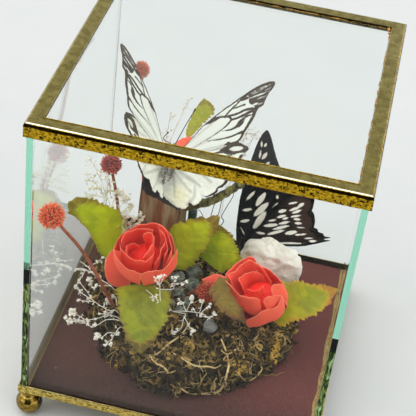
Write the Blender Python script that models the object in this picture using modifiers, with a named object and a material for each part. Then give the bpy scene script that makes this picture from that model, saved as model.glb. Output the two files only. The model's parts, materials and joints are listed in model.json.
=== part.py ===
"""Butterfly in a glass box: a brass-framed glass case on ball feet, with two
mounted butterflies, roses, leaves and dried sprays on a mound of moss.

The case stands on the floor plane and its front faces -Y. Lengths are typed
in millimetres and scaled by MM. Heights are measured from a datum plane that
lies DATUM above the floor, and every object is parented to an empty there.
"""

import math
import random

import bmesh
import bpy
from mathutils import Matrix, Vector, noise
from mathutils.bvhtree import BVHTree

MM = 0.001
GAP = 0.3

# Case
DATUM = 3.7
WIDTH = 127.0
TOP_Z = 147.3
BASE_LOW_Z = 9.7
BASE_RIM_Z = 14.8
ANGLE_WIDTH = 6.35
BRASS = 0.8
EDGE_ROUND = 1.0
GLASS = 2.5
BOARD_LOW_Z = 10.8
BOARD_Z = 12.0
FOOT_RADIUS = 5.6
FOOT_FLAT_RADIUS = 2.0
COLLAR_RADIUS = 3.9
FOOT_INSET = 4.0
FOOT_SIDES = 12

# Moss mound
MOUND_CENTRE = (-2.0, -1.0)
MOUND_RADIUS = 44.0
MOUND_HEIGHT = 22.0
MOUND_SIDES = 30
MOUND_RINGS = 14
MOUND_BULGE = 7.0
BULGE_DIRECTION = math.radians(150.0)
VALLEY_X = 6.0
VALLEY_WIDTH = 9.0
VALLEY_DEPTH = 3.0
SOCKET_GAP = 0.35

# Driftwood post
POST_CENTRE = (-23.9, 14.0)
POST_RADIUS = 10.2
POST_FOOT_Z = 29.0
POST_TOP_LEFT = 76.0
POST_TOP_RIGHT = 64.6
POST_SIDES = 18

# Thin plates
WING_THICKNESS = 0.35
LEAF_THICKNESS = 0.4
BLADE_END = 0.35
TOOTH_REACH = 1.12

# Roses: mouth of the cup as a share of the way from pole to pole
ROSE_RIM_SHARE = 0.56
ROSE_TURNS = 2.3
ROSE_LAPS = 4.0

# Half the clear width that the contents keep to, inside the glass
INSIDE = WIDTH / 2.0 - BRASS - GLASS - 1.5


def open_collection(name):
    """A collection linked to the scene."""
    group = bpy.data.collections.new(name)
    bpy.context.scene.collection.children.link(group)
    return group


for leftover in list(bpy.data.objects):
    bpy.data.objects.remove(leftover, do_unlink=True)

PARTS = open_collection("butterfly_in_glass_box")
CUTTERS = open_collection("cutters")
CASE_DATUM = bpy.data.objects.new("case_datum", None)
CASE_DATUM.location = (0.0, 0.0, DATUM * MM)
PARTS.objects.link(CASE_DATUM)


def material(name, colour, roughness, metallic=0.0, transmission=0.0):
    """One Principled material."""
    mat = bpy.data.materials.new(name)
    mat.use_nodes = True
    shader = mat.node_tree.nodes["Principled BSDF"]
    shader.inputs["Base Color"].default_value = (*colour, 1.0)
    shader.inputs["Roughness"].default_value = roughness
    shader.inputs["Metallic"].default_value = metallic
    shader.inputs["Transmission Weight"].default_value = transmission
    return mat


BRASS_MAT = material("brass", (0.42, 0.33, 0.12), 0.38, 1.0)
GLASS_MAT = material("glass", (0.90, 0.97, 0.95), 0.03, 0.0, 1.0)
BOARD_MAT = material("maroon_board", (0.11, 0.05, 0.05), 0.45)
MOSS_MAT = material("dried_moss", (0.09, 0.07, 0.04), 0.95)
DRIFTWOOD_MAT = material("driftwood", (0.22, 0.15, 0.11), 0.85)
BARK_MAT = material("bark", (0.18, 0.14, 0.08), 0.9)
TAPE_MAT = material("green_tape", (0.03, 0.08, 0.05), 0.7)
STONE_MAT = material("white_stone", (0.75, 0.74, 0.72), 0.8)
GRAVEL_MAT = material("grey_green_gravel", (0.20, 0.24, 0.23), 0.7)
PEBBLE_MAT = material("pale_pebble", (0.45, 0.47, 0.52), 0.5)
WHITE_WING_MAT = material("white_butterfly", (0.78, 0.76, 0.66), 0.7)
BLACK_WING_MAT = material("black_butterfly", (0.03, 0.03, 0.03), 0.6)
ROSE_MAT = material("coral_petals", (0.80, 0.15, 0.12), 0.6)
LEAF_MAT = material("green_leaf", (0.28, 0.35, 0.06), 0.6)
GLOBE_MAT = material("dried_globe_flower", (0.50, 0.13, 0.08), 0.9)
STEM_MAT = material("dried_stem", (0.25, 0.09, 0.05), 0.8)
WHITE_SPRAY_MAT = material("white_spray", (0.80, 0.78, 0.70), 0.8)
CREAM_SPRAY_MAT = material("cream_spray", (0.60, 0.55, 0.42), 0.85)
TWIG_MAT = material("dark_twigs", (0.08, 0.06, 0.05), 0.8)
GLUE_MAT = material("amber_glue", (0.70, 0.40, 0.05), 0.3)


def add_object(name, mesh, mat, location=(0.0, 0.0, 0.0)):
    """A named object on the datum, with its material."""
    mesh.name = name
    mesh.materials.clear()
    mesh.materials.append(mat)
    obj = bpy.data.objects.new(name, mesh)
    obj.location = Vector(location) * MM
    obj.parent = CASE_DATUM
    PARTS.objects.link(obj)
    return obj


def mesh_from(shape, smooth=False, closed=True):
    """Turns a bmesh in millimetres into a mesh in metres."""
    if closed:
        bmesh.ops.recalc_face_normals(shape, faces=shape.faces)
    for face in shape.faces:
        face.smooth = smooth
    mesh = bpy.data.meshes.new("shape")
    shape.to_mesh(mesh)
    shape.free()
    mesh.transform(Matrix.Scale(MM, 4))
    return mesh


def evaluated_mesh(obj):
    """A copy of the object's mesh with its modifiers applied."""
    graph = bpy.context.evaluated_depsgraph_get()
    return bpy.data.meshes.new_from_object(obj.evaluated_get(graph))


def curve_mesh(curve):
    """The welded mesh of a curve."""
    holder = bpy.data.objects.new("curve", curve)
    PARTS.objects.link(holder)
    mesh = evaluated_mesh(holder)
    bpy.data.objects.remove(holder)
    shape = bmesh.new()
    shape.from_mesh(mesh)
    bmesh.ops.remove_doubles(shape, verts=shape.verts, dist=0.00001)
    bmesh.ops.recalc_face_normals(shape, faces=shape.faces)
    shape.to_mesh(mesh)
    shape.free()
    return mesh


def smooth_route(points, per_span=4):
    """A smooth polyline through a few route points."""
    route = [Vector(p) for p in points]
    ends = [2 * route[0] - route[1], *route, 2 * route[-1] - route[-2]]
    result = []
    for i in range(1, len(ends) - 2):
        p0, p1, p2, p3 = ends[i - 1 : i + 3]
        for k in range(per_span):
            t = k / per_span
            bend = 2 * p0 - 5 * p1 + 4 * p2 - p3
            twist = 3 * p1 - 3 * p2 + p3 - p0
            result.append(0.5 * (2 * p1 + (p2 - p0) * t + bend * t * t + twist * t**3))
    result.append(route[-1])
    return result


def rod_mesh(route, radii, resolution=0):
    """A rod through the points, as thick at each as its radius says."""
    curve = bpy.data.curves.new("rod", "CURVE")
    curve.dimensions = "3D"
    curve.bevel_depth = MM
    curve.bevel_resolution = resolution
    curve.use_fill_caps = True
    spline = curve.splines.new("POLY")
    spline.points.add(len(route) - 1)
    for point, place, radius in zip(spline.points, route, radii):
        point.co = (*(Vector(place) * MM), 1.0)
        point.radius = radius
    return curve_mesh(curve)


def tube_mesh(points, start_radius, end_radius, resolution=1, per_span=2):
    """A tapering round rod along a smooth route."""
    route = smooth_route(points, per_span)
    last = len(route) - 1
    radii = [start_radius + (end_radius - start_radius) * i / last for i in range(last + 1)]
    return rod_mesh(route, radii, resolution)


def box(name, low, high, mat):
    """A box between two corners."""
    low = Vector(low)
    high = Vector(high)
    shape = bmesh.new()
    bmesh.ops.create_cube(shape, size=1.0)
    bmesh.ops.scale(shape, vec=high - low, verts=shape.verts)
    return add_object(name, mesh_from(shape), mat, (low + high) / 2.0)


def mitred_rails(prefix, profile, mat):
    """Four rails around the case, each a loft of its profile between mitres.

    The profile is a loop of (depth in from the outer face, height) points.
    """
    for turn, side in enumerate(("front", "right", "back", "left")):
        shape = bmesh.new()
        ends = []
        for sign in (-1.0, 1.0):
            ring = []
            for inward, height in profile:
                reach = WIDTH / 2.0 - inward - GAP / 2.0
                ring.append(shape.verts.new((sign * reach, inward - WIDTH / 2.0, height)))
            ends.append(ring)
        for i in range(len(profile)):
            k = (i + 1) % len(profile)
            shape.faces.new((ends[0][i], ends[0][k], ends[1][k], ends[1][i]))
        shape.faces.new(ends[0])
        shape.faces.new(ends[1])
        obj = add_object(f"{prefix}_{side}", mesh_from(shape), mat)
        obj.rotation_euler.z = turn * math.pi / 2.0


def rounded_corner(steps=3):
    """Points round the outer top corner of the brass angle."""
    points = []
    for i in range(steps + 1):
        turn = i * math.pi / 2.0 / steps
        inward = EDGE_ROUND * (1.0 - math.cos(turn))
        drop = EDGE_ROUND * (1.0 - math.sin(turn))
        points.append((inward, TOP_Z - drop))
    return points


def build_frame():
    """Top and base rails, board and glass."""
    top_profile = [(0.0, TOP_Z - ANGLE_WIDTH)]
    top_profile += rounded_corner()
    top_profile += [
        (ANGLE_WIDTH, TOP_Z),
        (ANGLE_WIDTH, TOP_Z - BRASS),
        (BRASS, TOP_Z - BRASS),
        (BRASS, TOP_Z - ANGLE_WIDTH),
    ]
    mitred_rails("top_rail", top_profile, BRASS_MAT)
    base_profile = [
        (0.0, BASE_LOW_Z),
        (0.0, BASE_RIM_Z),
        (BRASS, BASE_RIM_Z),
        (BRASS, BASE_LOW_Z + BRASS),
        (ANGLE_WIDTH, BASE_LOW_Z + BRASS),
        (ANGLE_WIDTH, BASE_LOW_Z),
    ]
    mitred_rails("base_rail", base_profile, BRASS_MAT)

    outer = WIDTH / 2.0 - BRASS - GAP
    inner = outer - GLASS
    wall_high = TOP_Z - BRASS - 2.0 * GAP - GLASS
    panes = {
        "glass_left": ((-outer, -outer), (-inner, outer)),
        "glass_right": ((inner, -outer), (outer, outer)),
        "glass_front": ((GAP - inner, -outer), (inner - GAP, -inner)),
        "glass_back": ((GAP - inner, inner), (inner - GAP, outer)),
    }
    for name, (low, high) in panes.items():
        box(name, (*low, BOARD_LOW_Z), (*high, wall_high), GLASS_MAT)
    top_low = wall_high + GAP
    box("glass_top", (-outer, -outer, top_low), (outer, outer, top_low + GLASS), GLASS_MAT)
    edge = inner - GAP
    box("base_board", (-edge, -edge, BOARD_LOW_Z), (edge, edge, BOARD_Z), BOARD_MAT)


def foot_profile():
    """Outer side of a ball foot with its collar, top to bottom."""
    top = BASE_LOW_Z - GAP
    centre = FOOT_RADIUS - DATUM
    points = [(0.0, top), (COLLAR_RADIUS, top), (COLLAR_RADIUS, top - 1.3), (3.1, top - 1.9)]
    for degrees in (56, 28, 0, -28, -56):
        angle = math.radians(degrees)
        points.append((FOOT_RADIUS * math.cos(angle), centre + FOOT_RADIUS * math.sin(angle)))
    points += [(FOOT_FLAT_RADIUS, -DATUM), (0.0, -DATUM)]
    return points


def turned(name, profile, mat, location, sides):
    """A turned solid: the profile spun about Z."""
    shape = bmesh.new()
    verts = [shape.verts.new((radius, 0.0, height)) for radius, height in profile]
    for first, second in zip(verts, verts[1:]):
        shape.edges.new((first, second))
    obj = add_object(name, mesh_from(shape, closed=False), mat, location)
    screw = obj.modifiers.new("turning", "SCREW")
    screw.steps = sides
    screw.render_steps = sides
    screw.use_merge_vertices = True
    screw.merge_threshold = 0.00001
    screw.use_smooth_shade = True
    return obj


def build_feet():
    """Four ball feet under the corners."""
    reach = WIDTH / 2.0 - FOOT_INSET
    for y_name, y in (("front", -reach), ("back", reach)):
        for x_name, x in (("left", -reach), ("right", reach)):
            name = f"ball_foot_{y_name}_{x_name}"
            turned(name, foot_profile(), BRASS_MAT, (x, y, 0.0), FOOT_SIDES)


def mound_reach(angle):
    """Radius of the mound's foot in a direction: fuller at the back left."""
    bulge = MOUND_BULGE * max(0.0, math.cos(angle - BULGE_DIRECTION)) ** 2
    return MOUND_RADIUS + bulge + 1.8 * math.sin(3.0 * angle + 0.6)


def build_mound():
    """A low, lumpy dome of moss with a flat underside."""
    shape = bmesh.new()
    bmesh.ops.create_uvsphere(
        shape, u_segments=MOUND_SIDES, v_segments=MOUND_RINGS, radius=1.0
    )
    foot = BOARD_Z + GAP
    for vert in shape.verts:
        x, y, z = vert.co
        lump = noise.noise(Vector((x * 2.8, y * 2.8, z * 1.6)))
        fine = noise.noise(Vector((x, y, z)) * 6.5)
        reach = mound_reach(math.atan2(y, x)) * (1.0 + 0.06 * lump + 0.04 * fine)
        rise = max(0.0, z) ** 0.62
        valley_share = (x * MOUND_RADIUS - VALLEY_X) / VALLEY_WIDTH
        valley = VALLEY_DEPTH * math.exp(-(valley_share**2))
        top = (MOUND_HEIGHT * (1.0 + 0.12 * lump + 0.07 * fine) - valley) * rise
        vert.co = Vector((MOUND_CENTRE[0] + x * reach, MOUND_CENTRE[1] + y * reach, foot + top))
    return add_object("moss_mound", mesh_from(shape, smooth=True), MOSS_MAT)


class Ground:
    """Finds the mound's surface under a point."""

    def __init__(self, mound):
        vertices = [v.co / MM for v in mound.data.vertices]
        faces = [p.vertices[:] for p in mound.data.polygons]
        self.tree = BVHTree.FromPolygons(vertices, faces)

    def above(self, x, y, lift=GAP):
        """The point just above the moss at x, y."""
        hit = self.tree.ray_cast(Vector((x, y, 200.0)), Vector((0.0, 0.0, -1.0)))[0]
        return Vector((x, y, (hit.z if hit else BOARD_Z) + lift))


def lumpy_stone(name, centre, radii, mat, seed, detail=2, rough=0.16):
    """A stone with flattened sides."""
    shape = bmesh.new()
    bmesh.ops.create_icosphere(shape, subdivisions=detail, radius=1.0)
    offset = Vector((3.1, 1.7, 2.3)) * seed
    for vert in shape.verts:
        swell = 1.0 + rough * noise.noise(vert.co * 1.6 + offset)
        swell += 0.5 * rough * noise.noise(vert.co * 4.0 + offset)
        clipped = [max(-0.84, min(0.84, part)) for part in vert.co]
        vert.co = Vector([clipped[i] * radii[i] for i in range(3)]) * swell
    return add_object(name, mesh_from(shape), mat, centre)


def build_stones():
    """The white stone, the gravel and the pale pebble."""
    return [
        lumpy_stone("white_stone", (26.8, 18.5, 39.5), (15.5, 10.0, 13.5), STONE_MAT, 1, 3, 0.22),
        lumpy_stone("gravel_stone_1", (-5.6, 6.6, 36.0), (4.0, 3.5, 3.4), GRAVEL_MAT, 2),
        lumpy_stone("gravel_stone_2", (-3.4, -2.4, 36.0), (3.6, 3.8, 3.2), GRAVEL_MAT, 3),
        lumpy_stone("gravel_stone_3", (-11.4, 0.4, 36.0), (3.2, 3.0, 2.8), GRAVEL_MAT, 4),
        lumpy_stone("pale_pebble", (8.8, -21.8, 32.8), (3.8, 3.2, 2.8), PEBBLE_MAT, 5),
    ]


def build_post():
    """A broken-off length of driftwood with a slanted top."""
    shape = bmesh.new()
    bmesh.ops.create_cone(
        shape, cap_ends=True, segments=POST_SIDES, radius1=1.0, radius2=1.0, depth=1.0
    )
    uprights = [e for e in shape.edges if abs(e.verts[0].co.z - e.verts[1].co.z) > 0.5]
    bmesh.ops.subdivide_edges(shape, edges=uprights, cuts=4)
    middle = (POST_TOP_LEFT + POST_TOP_RIGHT) / 2.0
    for vert in shape.verts:
        x, y, z = vert.co
        t = z + 0.5
        angle = math.atan2(y, x)
        ridge = 0.05 * math.sin(5.0 * angle + 1.0) + 0.035 * math.sin(9.0 * angle + t)
        ridge += 0.05 * noise.noise(Vector((x, y, t * 2.0)) * 2.0)
        radius = POST_RADIUS * (1.0 + ridge) * (1.04 - 0.06 * t)
        top = middle + (POST_TOP_RIGHT - POST_TOP_LEFT) / 2.0 * x + 0.8 * math.sin(4.0 * angle)
        vert.co = Vector((x * radius, y * radius, POST_FOOT_Z + (top - POST_FOOT_Z) * t))
    return add_object(
        "driftwood_post", mesh_from(shape, smooth=True), DRIFTWOOD_MAT, (*POST_CENTRE, 0.0)
    )


def sink_into(mound, piece):
    """Cuts a socket in the mound, a little wider than the piece in it."""
    cutter = piece.copy()
    cutter.data = piece.data.copy()
    cutter.name = f"socket_{piece.name}"
    cutter.hide_render = True
    cutter.display_type = "WIRE"
    CUTTERS.objects.link(cutter)
    points = [v.co for v in cutter.data.vertices]
    middle = sum(points, Vector()) / len(points)
    for vert in cutter.data.vertices:
        out = vert.co - middle
        reach = max(math.hypot(out.x, out.y), 2.0 * MM)
        growth = 1.0 + SOCKET_GAP * MM / reach
        vert.co = middle + Vector((out.x * growth, out.y * growth, out.z))
        vert.co.z -= SOCKET_GAP * MM
    cut = mound.modifiers.new(cutter.name, "BOOLEAN")
    cut.operation = "DIFFERENCE"
    cut.object = cutter


def build_perch(ground):
    """The bark slab beside the post and the taped stalk that holds it."""
    slab = tube_mesh([(-11.6, 15.0, 65.6), (-2.0, 15.4, 70.6), (7.4, 16.4, 78.8)], 2.0, 1.5, 1)
    add_object("bark_perch", slab, BARK_MAT)
    for vert in slab.vertices:
        swell = noise.noise(vert.co / MM * 0.35)
        vert.co.z += 0.7 * MM * swell
        vert.co.y += 1.1 * MM * swell
    stalk = [ground.above(-9.9, 16.4), (-10.3, 16.3, 48.0), (-10.4, 16.0, 62.6)]
    add_object("perch_stalk", tube_mesh(stalk, 1.5, 1.7, 2, 2), TAPE_MAT)


def union(name, pieces, mat):
    """Joins overlapping meshes into one closed solid."""
    base = add_object(name, pieces[0], mat)
    for mesh in pieces[1:]:
        other = bpy.data.objects.new("joined", mesh)
        PARTS.objects.link(other)
        other.parent = CASE_DATUM
        join = base.modifiers.new("join", "BOOLEAN")
        join.operation = "UNION"
        join.object = other
        result = evaluated_mesh(base)
        base.modifiers.remove(join)
        base.data = result
        bpy.data.objects.remove(other)
    base.data.name = name
    base.data.materials.clear()
    base.data.materials.append(mat)
    return base


def oriented(root, along, across):
    """Matrix from a plate's own plane to its place, in metres."""
    first = Vector(along).normalized()
    second = Vector(across)
    second = (second - first * second.dot(first)).normalized()
    third = first.cross(second)
    turn = Matrix((first, second, third)).transposed().to_4x4()
    return Matrix.Translation(Vector(root) * MM) @ turn


def wing_mesh(outline, root, along, across):
    """A thin wing: a smooth closed outline, extruded, set in its plane."""
    curve = bpy.data.curves.new("wing", "CURVE")
    curve.dimensions = "2D"
    curve.fill_mode = "BOTH"
    curve.extrude = WING_THICKNESS / 2.0 * MM
    curve.resolution_u = 1
    spline = curve.splines.new("BEZIER")
    spline.bezier_points.add(len(outline) - 1)
    spline.use_cyclic_u = True
    for point, (x, y) in zip(spline.bezier_points, outline):
        point.co = (x * MM, y * MM, 0.0)
        point.handle_left_type = "AUTO"
        point.handle_right_type = "AUTO"
    mesh = curve_mesh(curve)
    mesh.transform(oriented(root, along, across))
    return mesh


def body_mesh(tail, head, girth):
    """Abdomen, thorax and head as one turned body from tail to head."""
    shares = (
        (0.0, 0.0), (0.03, 0.35), (0.15, 0.62), (0.35, 0.72), (0.5, 0.55),
        (0.58, 0.9), (0.7, 1.0), (0.8, 0.85), (0.86, 0.5), (0.92, 0.66),
        (0.98, 0.45), (1.0, 0.0),
    )
    tail = Vector(tail)
    head = Vector(head)
    length = (head - tail).length
    profile = [(girth * width, length * share) for share, width in reversed(shares)]
    holder = turned("body", profile, WHITE_WING_MAT, (0.0, 0.0, 0.0), 8)
    mesh = evaluated_mesh(holder)
    bpy.data.objects.remove(holder)
    turn = (head - tail).to_track_quat("Z", "Y").to_matrix().to_4x4()
    mesh.transform(Matrix.Translation(tail * MM) @ turn)
    return mesh


def build_white_butterfly():
    """The pale butterfly on the post, facing away with raised wings."""
    forewing = (
        (-2.0, -0.6), (14.0, -2.9), (24.0, -3.7), (37.0, -3.2), (50.0, -1.3), (53.2, 0.3),
        (47.7, 3.6), (38.0, 6.6), (32.5, 9.8), (27.4, 12.0), (14.0, 8.0), (-1.0, 2.2),
    )
    hindwing = (
        (-1.0, -0.8), (12.0, 3.0), (23.5, 10.5), (28.3, 17.0), (23.0, 18.8), (15.0, 21.5),
        (6.9, 23.0), (1.0, 21.4), (-4.0, 22.5), (-8.3, 20.1), (-12.0, 15.8), (-12.6, 11.0),
        (-8.0, 4.0),
    )
    right_root = (-22.5, 23.0, 83.0)
    right_along = (0.676, 0.394, 0.622)
    right_across = (0.704, -0.595, -0.387)
    left_root = (-26.5, 23.0, 83.0)
    left_along = (-0.541, 0.337, 0.771)
    left_across = (-0.36, -0.92, 0.15)
    beneath = Vector((0.0, -0.1, -0.6))
    thorax = Vector((-24.6, 23.5, 81.8))
    head = Vector((-24.9, 33.0, 83.8))
    pieces = [
        body_mesh((-23.4, 9.6, 80.0), head, 3.3),
        wing_mesh(forewing, right_root, right_along, right_across),
        wing_mesh(forewing, left_root, left_along, left_across),
        wing_mesh(hindwing, Vector(right_root) + beneath, right_along, right_across),
        wing_mesh(hindwing, Vector(left_root) + beneath, left_along, left_across),
    ]
    for tip in ((-22.2, 42.0, 95.2), (-32.6, 42.0, 91.4)):
        middle = (head + Vector(tip)) / 2.0 + Vector((0.0, 0.6, -0.8))
        pieces.append(tube_mesh([head + Vector((0.0, -1.4, 0.4)), middle, tip], 0.22, 0.4, 0))
    feet = ((-1, 17.0, 76.4), (-1, 21.0, 76.2), (1, 17.0, 71.6), (1, 21.0, 71.8))
    for side, foot_y, foot_z in feet:
        start = thorax + Vector((side * 0.8, (foot_y - 19.0) * 0.6, -0.6))
        knee = start + Vector((side * 3.2, 0.0, 0.2))
        pieces.append(tube_mesh([start, knee, (-24.0 + side * 6.4, foot_y, foot_z)], 0.35, 0.25, 0, 1))
    return union("white_butterfly", pieces, WHITE_WING_MAT)


def build_black_butterfly():
    """The dark swallowtail behind the stone, with its wings closed."""
    forewing = (
        (-1.0, -1.2), (13.4, -4.2), (26.0, -4.7), (42.8, -3.8), (54.1, -2.1), (59.1, 0.2),
        (56.3, 2.6), (51.9, 4.4), (46.7, 6.9), (41.0, 10.5), (34.0, 17.0), (26.0, 19.0),
        (12.0, 7.0), (-1.0, 1.6),
    )
    hindwing = (
        (-1.0, -1.0), (12.0, 8.0), (27.0, 17.0), (33.5, 24.0), (32.0, 28.4), (27.2, 28.2),
        (26.4, 29.9), (22.0, 29.8), (18.9, 31.2), (18.6, 33.8), (16.6, 36.6), (16.0, 39.3),
        (14.0, 37.0), (12.6, 33.6), (10.4, 30.0), (9.0, 25.0), (7.0, 17.0), (4.6, 6.5),
    )
    root = Vector((11.6, 32.2, 33.6))
    along = Vector((0.042, 0.237, 0.971))
    across = Vector((0.999, 0.004, -0.045))
    outward = across.cross(along).normalized()
    pieces = [body_mesh((31.0, 33.6, 34.6), (9.6, 31.8, 33.6), 2.7)]
    for side in (-1.0, 1.0):
        splay = along - outward * 0.028 * side
        shift = outward * 0.5 * side
        pieces.append(wing_mesh(forewing, root - shift, splay, across))
        pieces.append(wing_mesh(hindwing, root - shift * 2.6, splay, across))
    head = Vector((10.6, 31.9, 33.8))
    for tip in ((11.8, 28.6, 44.0), (12.4, 36.4, 43.6)):
        middle = (head + Vector(tip)) / 2.0 + Vector((-0.6, 0.0, 0.6))
        pieces.append(tube_mesh([head, middle, tip], 0.25, 0.4, 0))
    return union("black_butterfly", pieces, BLACK_WING_MAT)


def rose(name, centre, facing, radius, seed):
    """A wrapped rose: a cup with a mouth of spiralling petal rims."""
    shape = bmesh.new()
    bmesh.ops.create_uvsphere(shape, u_segments=20, v_segments=13, radius=1.0)
    for vert in shape.verts:
        x, y, z = vert.co
        angle = math.atan2(y, x)
        share = math.acos(max(-1.0, min(1.0, z))) / math.pi
        if share < ROSE_RIM_SHARE:
            out = share / ROSE_RIM_SHARE
            wrap = (out * ROSE_TURNS - angle / (2.0 * math.pi) + seed) % 1.0
            height = 0.42 + 0.20 * wrap**2 - 0.30 * (1.0 - out) ** 2
            reach = 0.95 * out
        else:
            down = (share - ROSE_RIM_SHARE) / (1.0 - ROSE_RIM_SHARE)
            lap = (angle / (2.0 * math.pi) * ROSE_LAPS + seed + 0.5 * down) % 1.0
            reach = 0.97 + 0.12 * math.sin(min(1.0, down * 1.5) * math.pi)
            reach *= math.sqrt(max(0.0, 1.0 - down**2.6)) * (0.97 + 0.06 * lap)
            height = 0.62 - 1.42 * down**0.9
        vert.co = Vector((math.cos(angle) * reach, math.sin(angle) * reach, height)) * radius
    turn = Vector(facing).to_track_quat("Z", "Y").to_matrix().to_4x4()
    bmesh.ops.transform(shape, matrix=turn, verts=shape.verts)
    return add_object(name, mesh_from(shape, smooth=True), ROSE_MAT, centre)


def blade(name, base, tip, across, width, mat, teeth=4, fold=0.18, droop=2.0):
    """A leaf or petal: a folded strip from base to tip with a toothed edge."""
    base = Vector(base)
    tip = Vector(tip)
    along = (tip - base).normalized()
    across = Vector(across)
    across = (across - along * across.dot(along)).normalized()
    up = along.cross(across)
    rows = 2 * max(teeth, 3)
    shape = bmesh.new()
    bmesh.ops.create_grid(shape, x_segments=rows, y_segments=2, size=0.5)
    for vert in shape.verts:
        t = vert.co.x + 0.5
        side = vert.co.y * 2.0
        half = width / 2.0 * math.sin(math.pi * min(1.0, t**0.8)) ** 0.75 + BLADE_END
        if teeth and round(t * rows) % 2:
            half *= TOOTH_REACH
        lift = droop * math.sin(math.pi * t) + fold * abs(side) * half
        vert.co = base + along * (t * (tip - base).length) + across * (side * half) + up * lift
    obj = add_object(name, mesh_from(shape, closed=False), mat)
    shell = obj.modifiers.new("thickness", "SOLIDIFY")
    shell.thickness = LEAF_THICKNESS * MM
    shell.offset = 0.0
    return obj


def build_flowers(ground):
    """Three roses, their loose outer petals and the stem of the back one."""
    rose("rose_left", (-24.4, -12.0, 55.2), (-0.05, -0.55, 0.83), 12.0, 0.1)
    rose("rose_right", (24.0, -8.0, 45.6), (-0.35, -0.50, 0.79), 11.4, 0.45)
    rose("rose_back", (-18.4, 43.0, 70.6), (0.10, -0.15, 0.98), 10.4, 0.75)
    blade(
        "rose_left_outer_petal", (-33.2, -20.2, 42.0), (-42.4, -14.0, 58.8), (0.18, -0.88, 0.42),
        15.0, ROSE_MAT, teeth=0, fold=0.25, droop=-1.5,
    )
    blade(
        "rose_right_outer_petal", (11.4, -3.0, 41.2), (1.6, -4.4, 46.6), (0.2, 0.75, 0.6),
        9.0, ROSE_MAT, teeth=0, fold=0.2, droop=1.2,
    )
    stem = [ground.above(-16.6, 33.0), (-17.0, 36.0, 46.0), (-18.2, 41.2, 60.4)]
    add_object("rose_back_stem", tube_mesh(stem, 0.9, 0.9), STEM_MAT)


def build_leaves():
    """Seven serrated leaves."""
    leaves = {
        "leaf_upper_left": ((-36.4, 2.0, 45.4), (-57.4, -18.6, 80.2), (0.80, 0.45, 0.55), 19.0, 1.5),
        "leaf_lower_left": ((-24.6, -16.4, 38.6), (-15.6, -45.6, 31.6), (1.0, 0.25, -0.05), 21.0, 4.0),
        "leaf_centre": ((-12.4, 2.6, 42.4), (2.4, 6.4, 69.0), (0.80, -0.15, -0.50), 18.0, -1.5),
        "leaf_behind": ((8.8, 7.2, 40.0), (3.6, 12.4, 61.6), (0.95, -0.30, 0.2), 16.0, -1.0),
        "leaf_front_right": ((8.8, -10.4, 51.6), (21.5, -27.2, 40.4), (0.75, 0.35, 0.45), 12.0, 1.2),
        "leaf_right": ((35.6, -3.4, 38.4), (58.8, 3.0, 44.2), (-0.15, 0.82, 0.50), 18.0, 1.0),
        "leaf_top_back": ((-20.4, 45.0, 82.6), (-15.0, 42.4, 102.4), (0.95, 0.1, -0.2), 9.0, 0.6),
    }
    for name, (base, tip, across, width, droop) in leaves.items():
        blade(name, base, tip, across, width, LEAF_MAT, droop=droop)


def build_globe_flowers(ground):
    """Four spiky dried heads, each on its stem."""
    heads = (
        ((-54.0, -54.0, 101.0), 5.2, (-47.0, -38.0, 76.0), (-33.6, -25.0)),
        ((-48.1, 14.0, 79.5), 4.7, (-43.2, 12.2, 58.0), (-39.4, 10.0)),
        ((-44.6, 42.0, 110.0), 3.9, (-40.0, 40.0, 72.0), (-33.0, 28.0)),
        ((3.9, -11.7, 42.6), 4.4, (-0.4, -8.4, 39.6), (-4.4, -7.0)),
    )
    for number, (centre, radius, bend, foot) in enumerate(heads, start=1):
        shape = bmesh.new()
        bmesh.ops.create_icosphere(shape, subdivisions=2, radius=radius * 0.8)
        bmesh.ops.poke(shape, faces=shape.faces[:], offset=radius * 0.24)
        add_object(f"globe_flower_{number}", mesh_from(shape), GLOBE_MAT, centre)
        centre = Vector(centre)
        toward = (Vector(bend) - centre).normalized()
        route = [ground.above(*foot, 1.6), bend, centre + toward * (radius * 1.06 + GAP)]
        add_object(f"globe_stem_{number}", tube_mesh(route, 0.7, 0.5), STEM_MAT)


def spray(name, base, tips, mat, stem=0.4, bud=0.9, sag=1.5, twigs=2, seed=1):
    """A dried spray: branches from one foot, each forking to small buds."""
    rng = random.Random(seed)
    base = Vector(base)
    rods = []
    for tip in tips:
        tip = Vector(tip)
        run = tip - base
        middle = base + run * 0.42 + Vector((0.0, 0.0, sag))
        fork = base + run * 0.72 + Vector((0.0, 0.0, 0.6 * sag))
        neck = fork + (tip - fork) * 0.7
        widths = [stem * 1.3, stem, stem * 0.8, bud]
        rods.append(rod_mesh([base, middle, neck, tip], widths))
        for _ in range(twigs):
            spread = Vector([rng.uniform(-1.0, 1.0) for _ in range(3)]).normalized()
            end = fork + (tip - fork) * 0.8 + spread * run.length * 0.14
            end.x = max(-INSIDE, min(INSIDE, end.x))
            end.y = max(-INSIDE, min(INSIDE, end.y))
            start = middle + (neck - middle) * 0.6
            rods.append(rod_mesh([start, start + (end - start) * 0.7, end], [stem * 0.6, stem * 0.7, bud]))
    return union(name, rods, mat)


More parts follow.
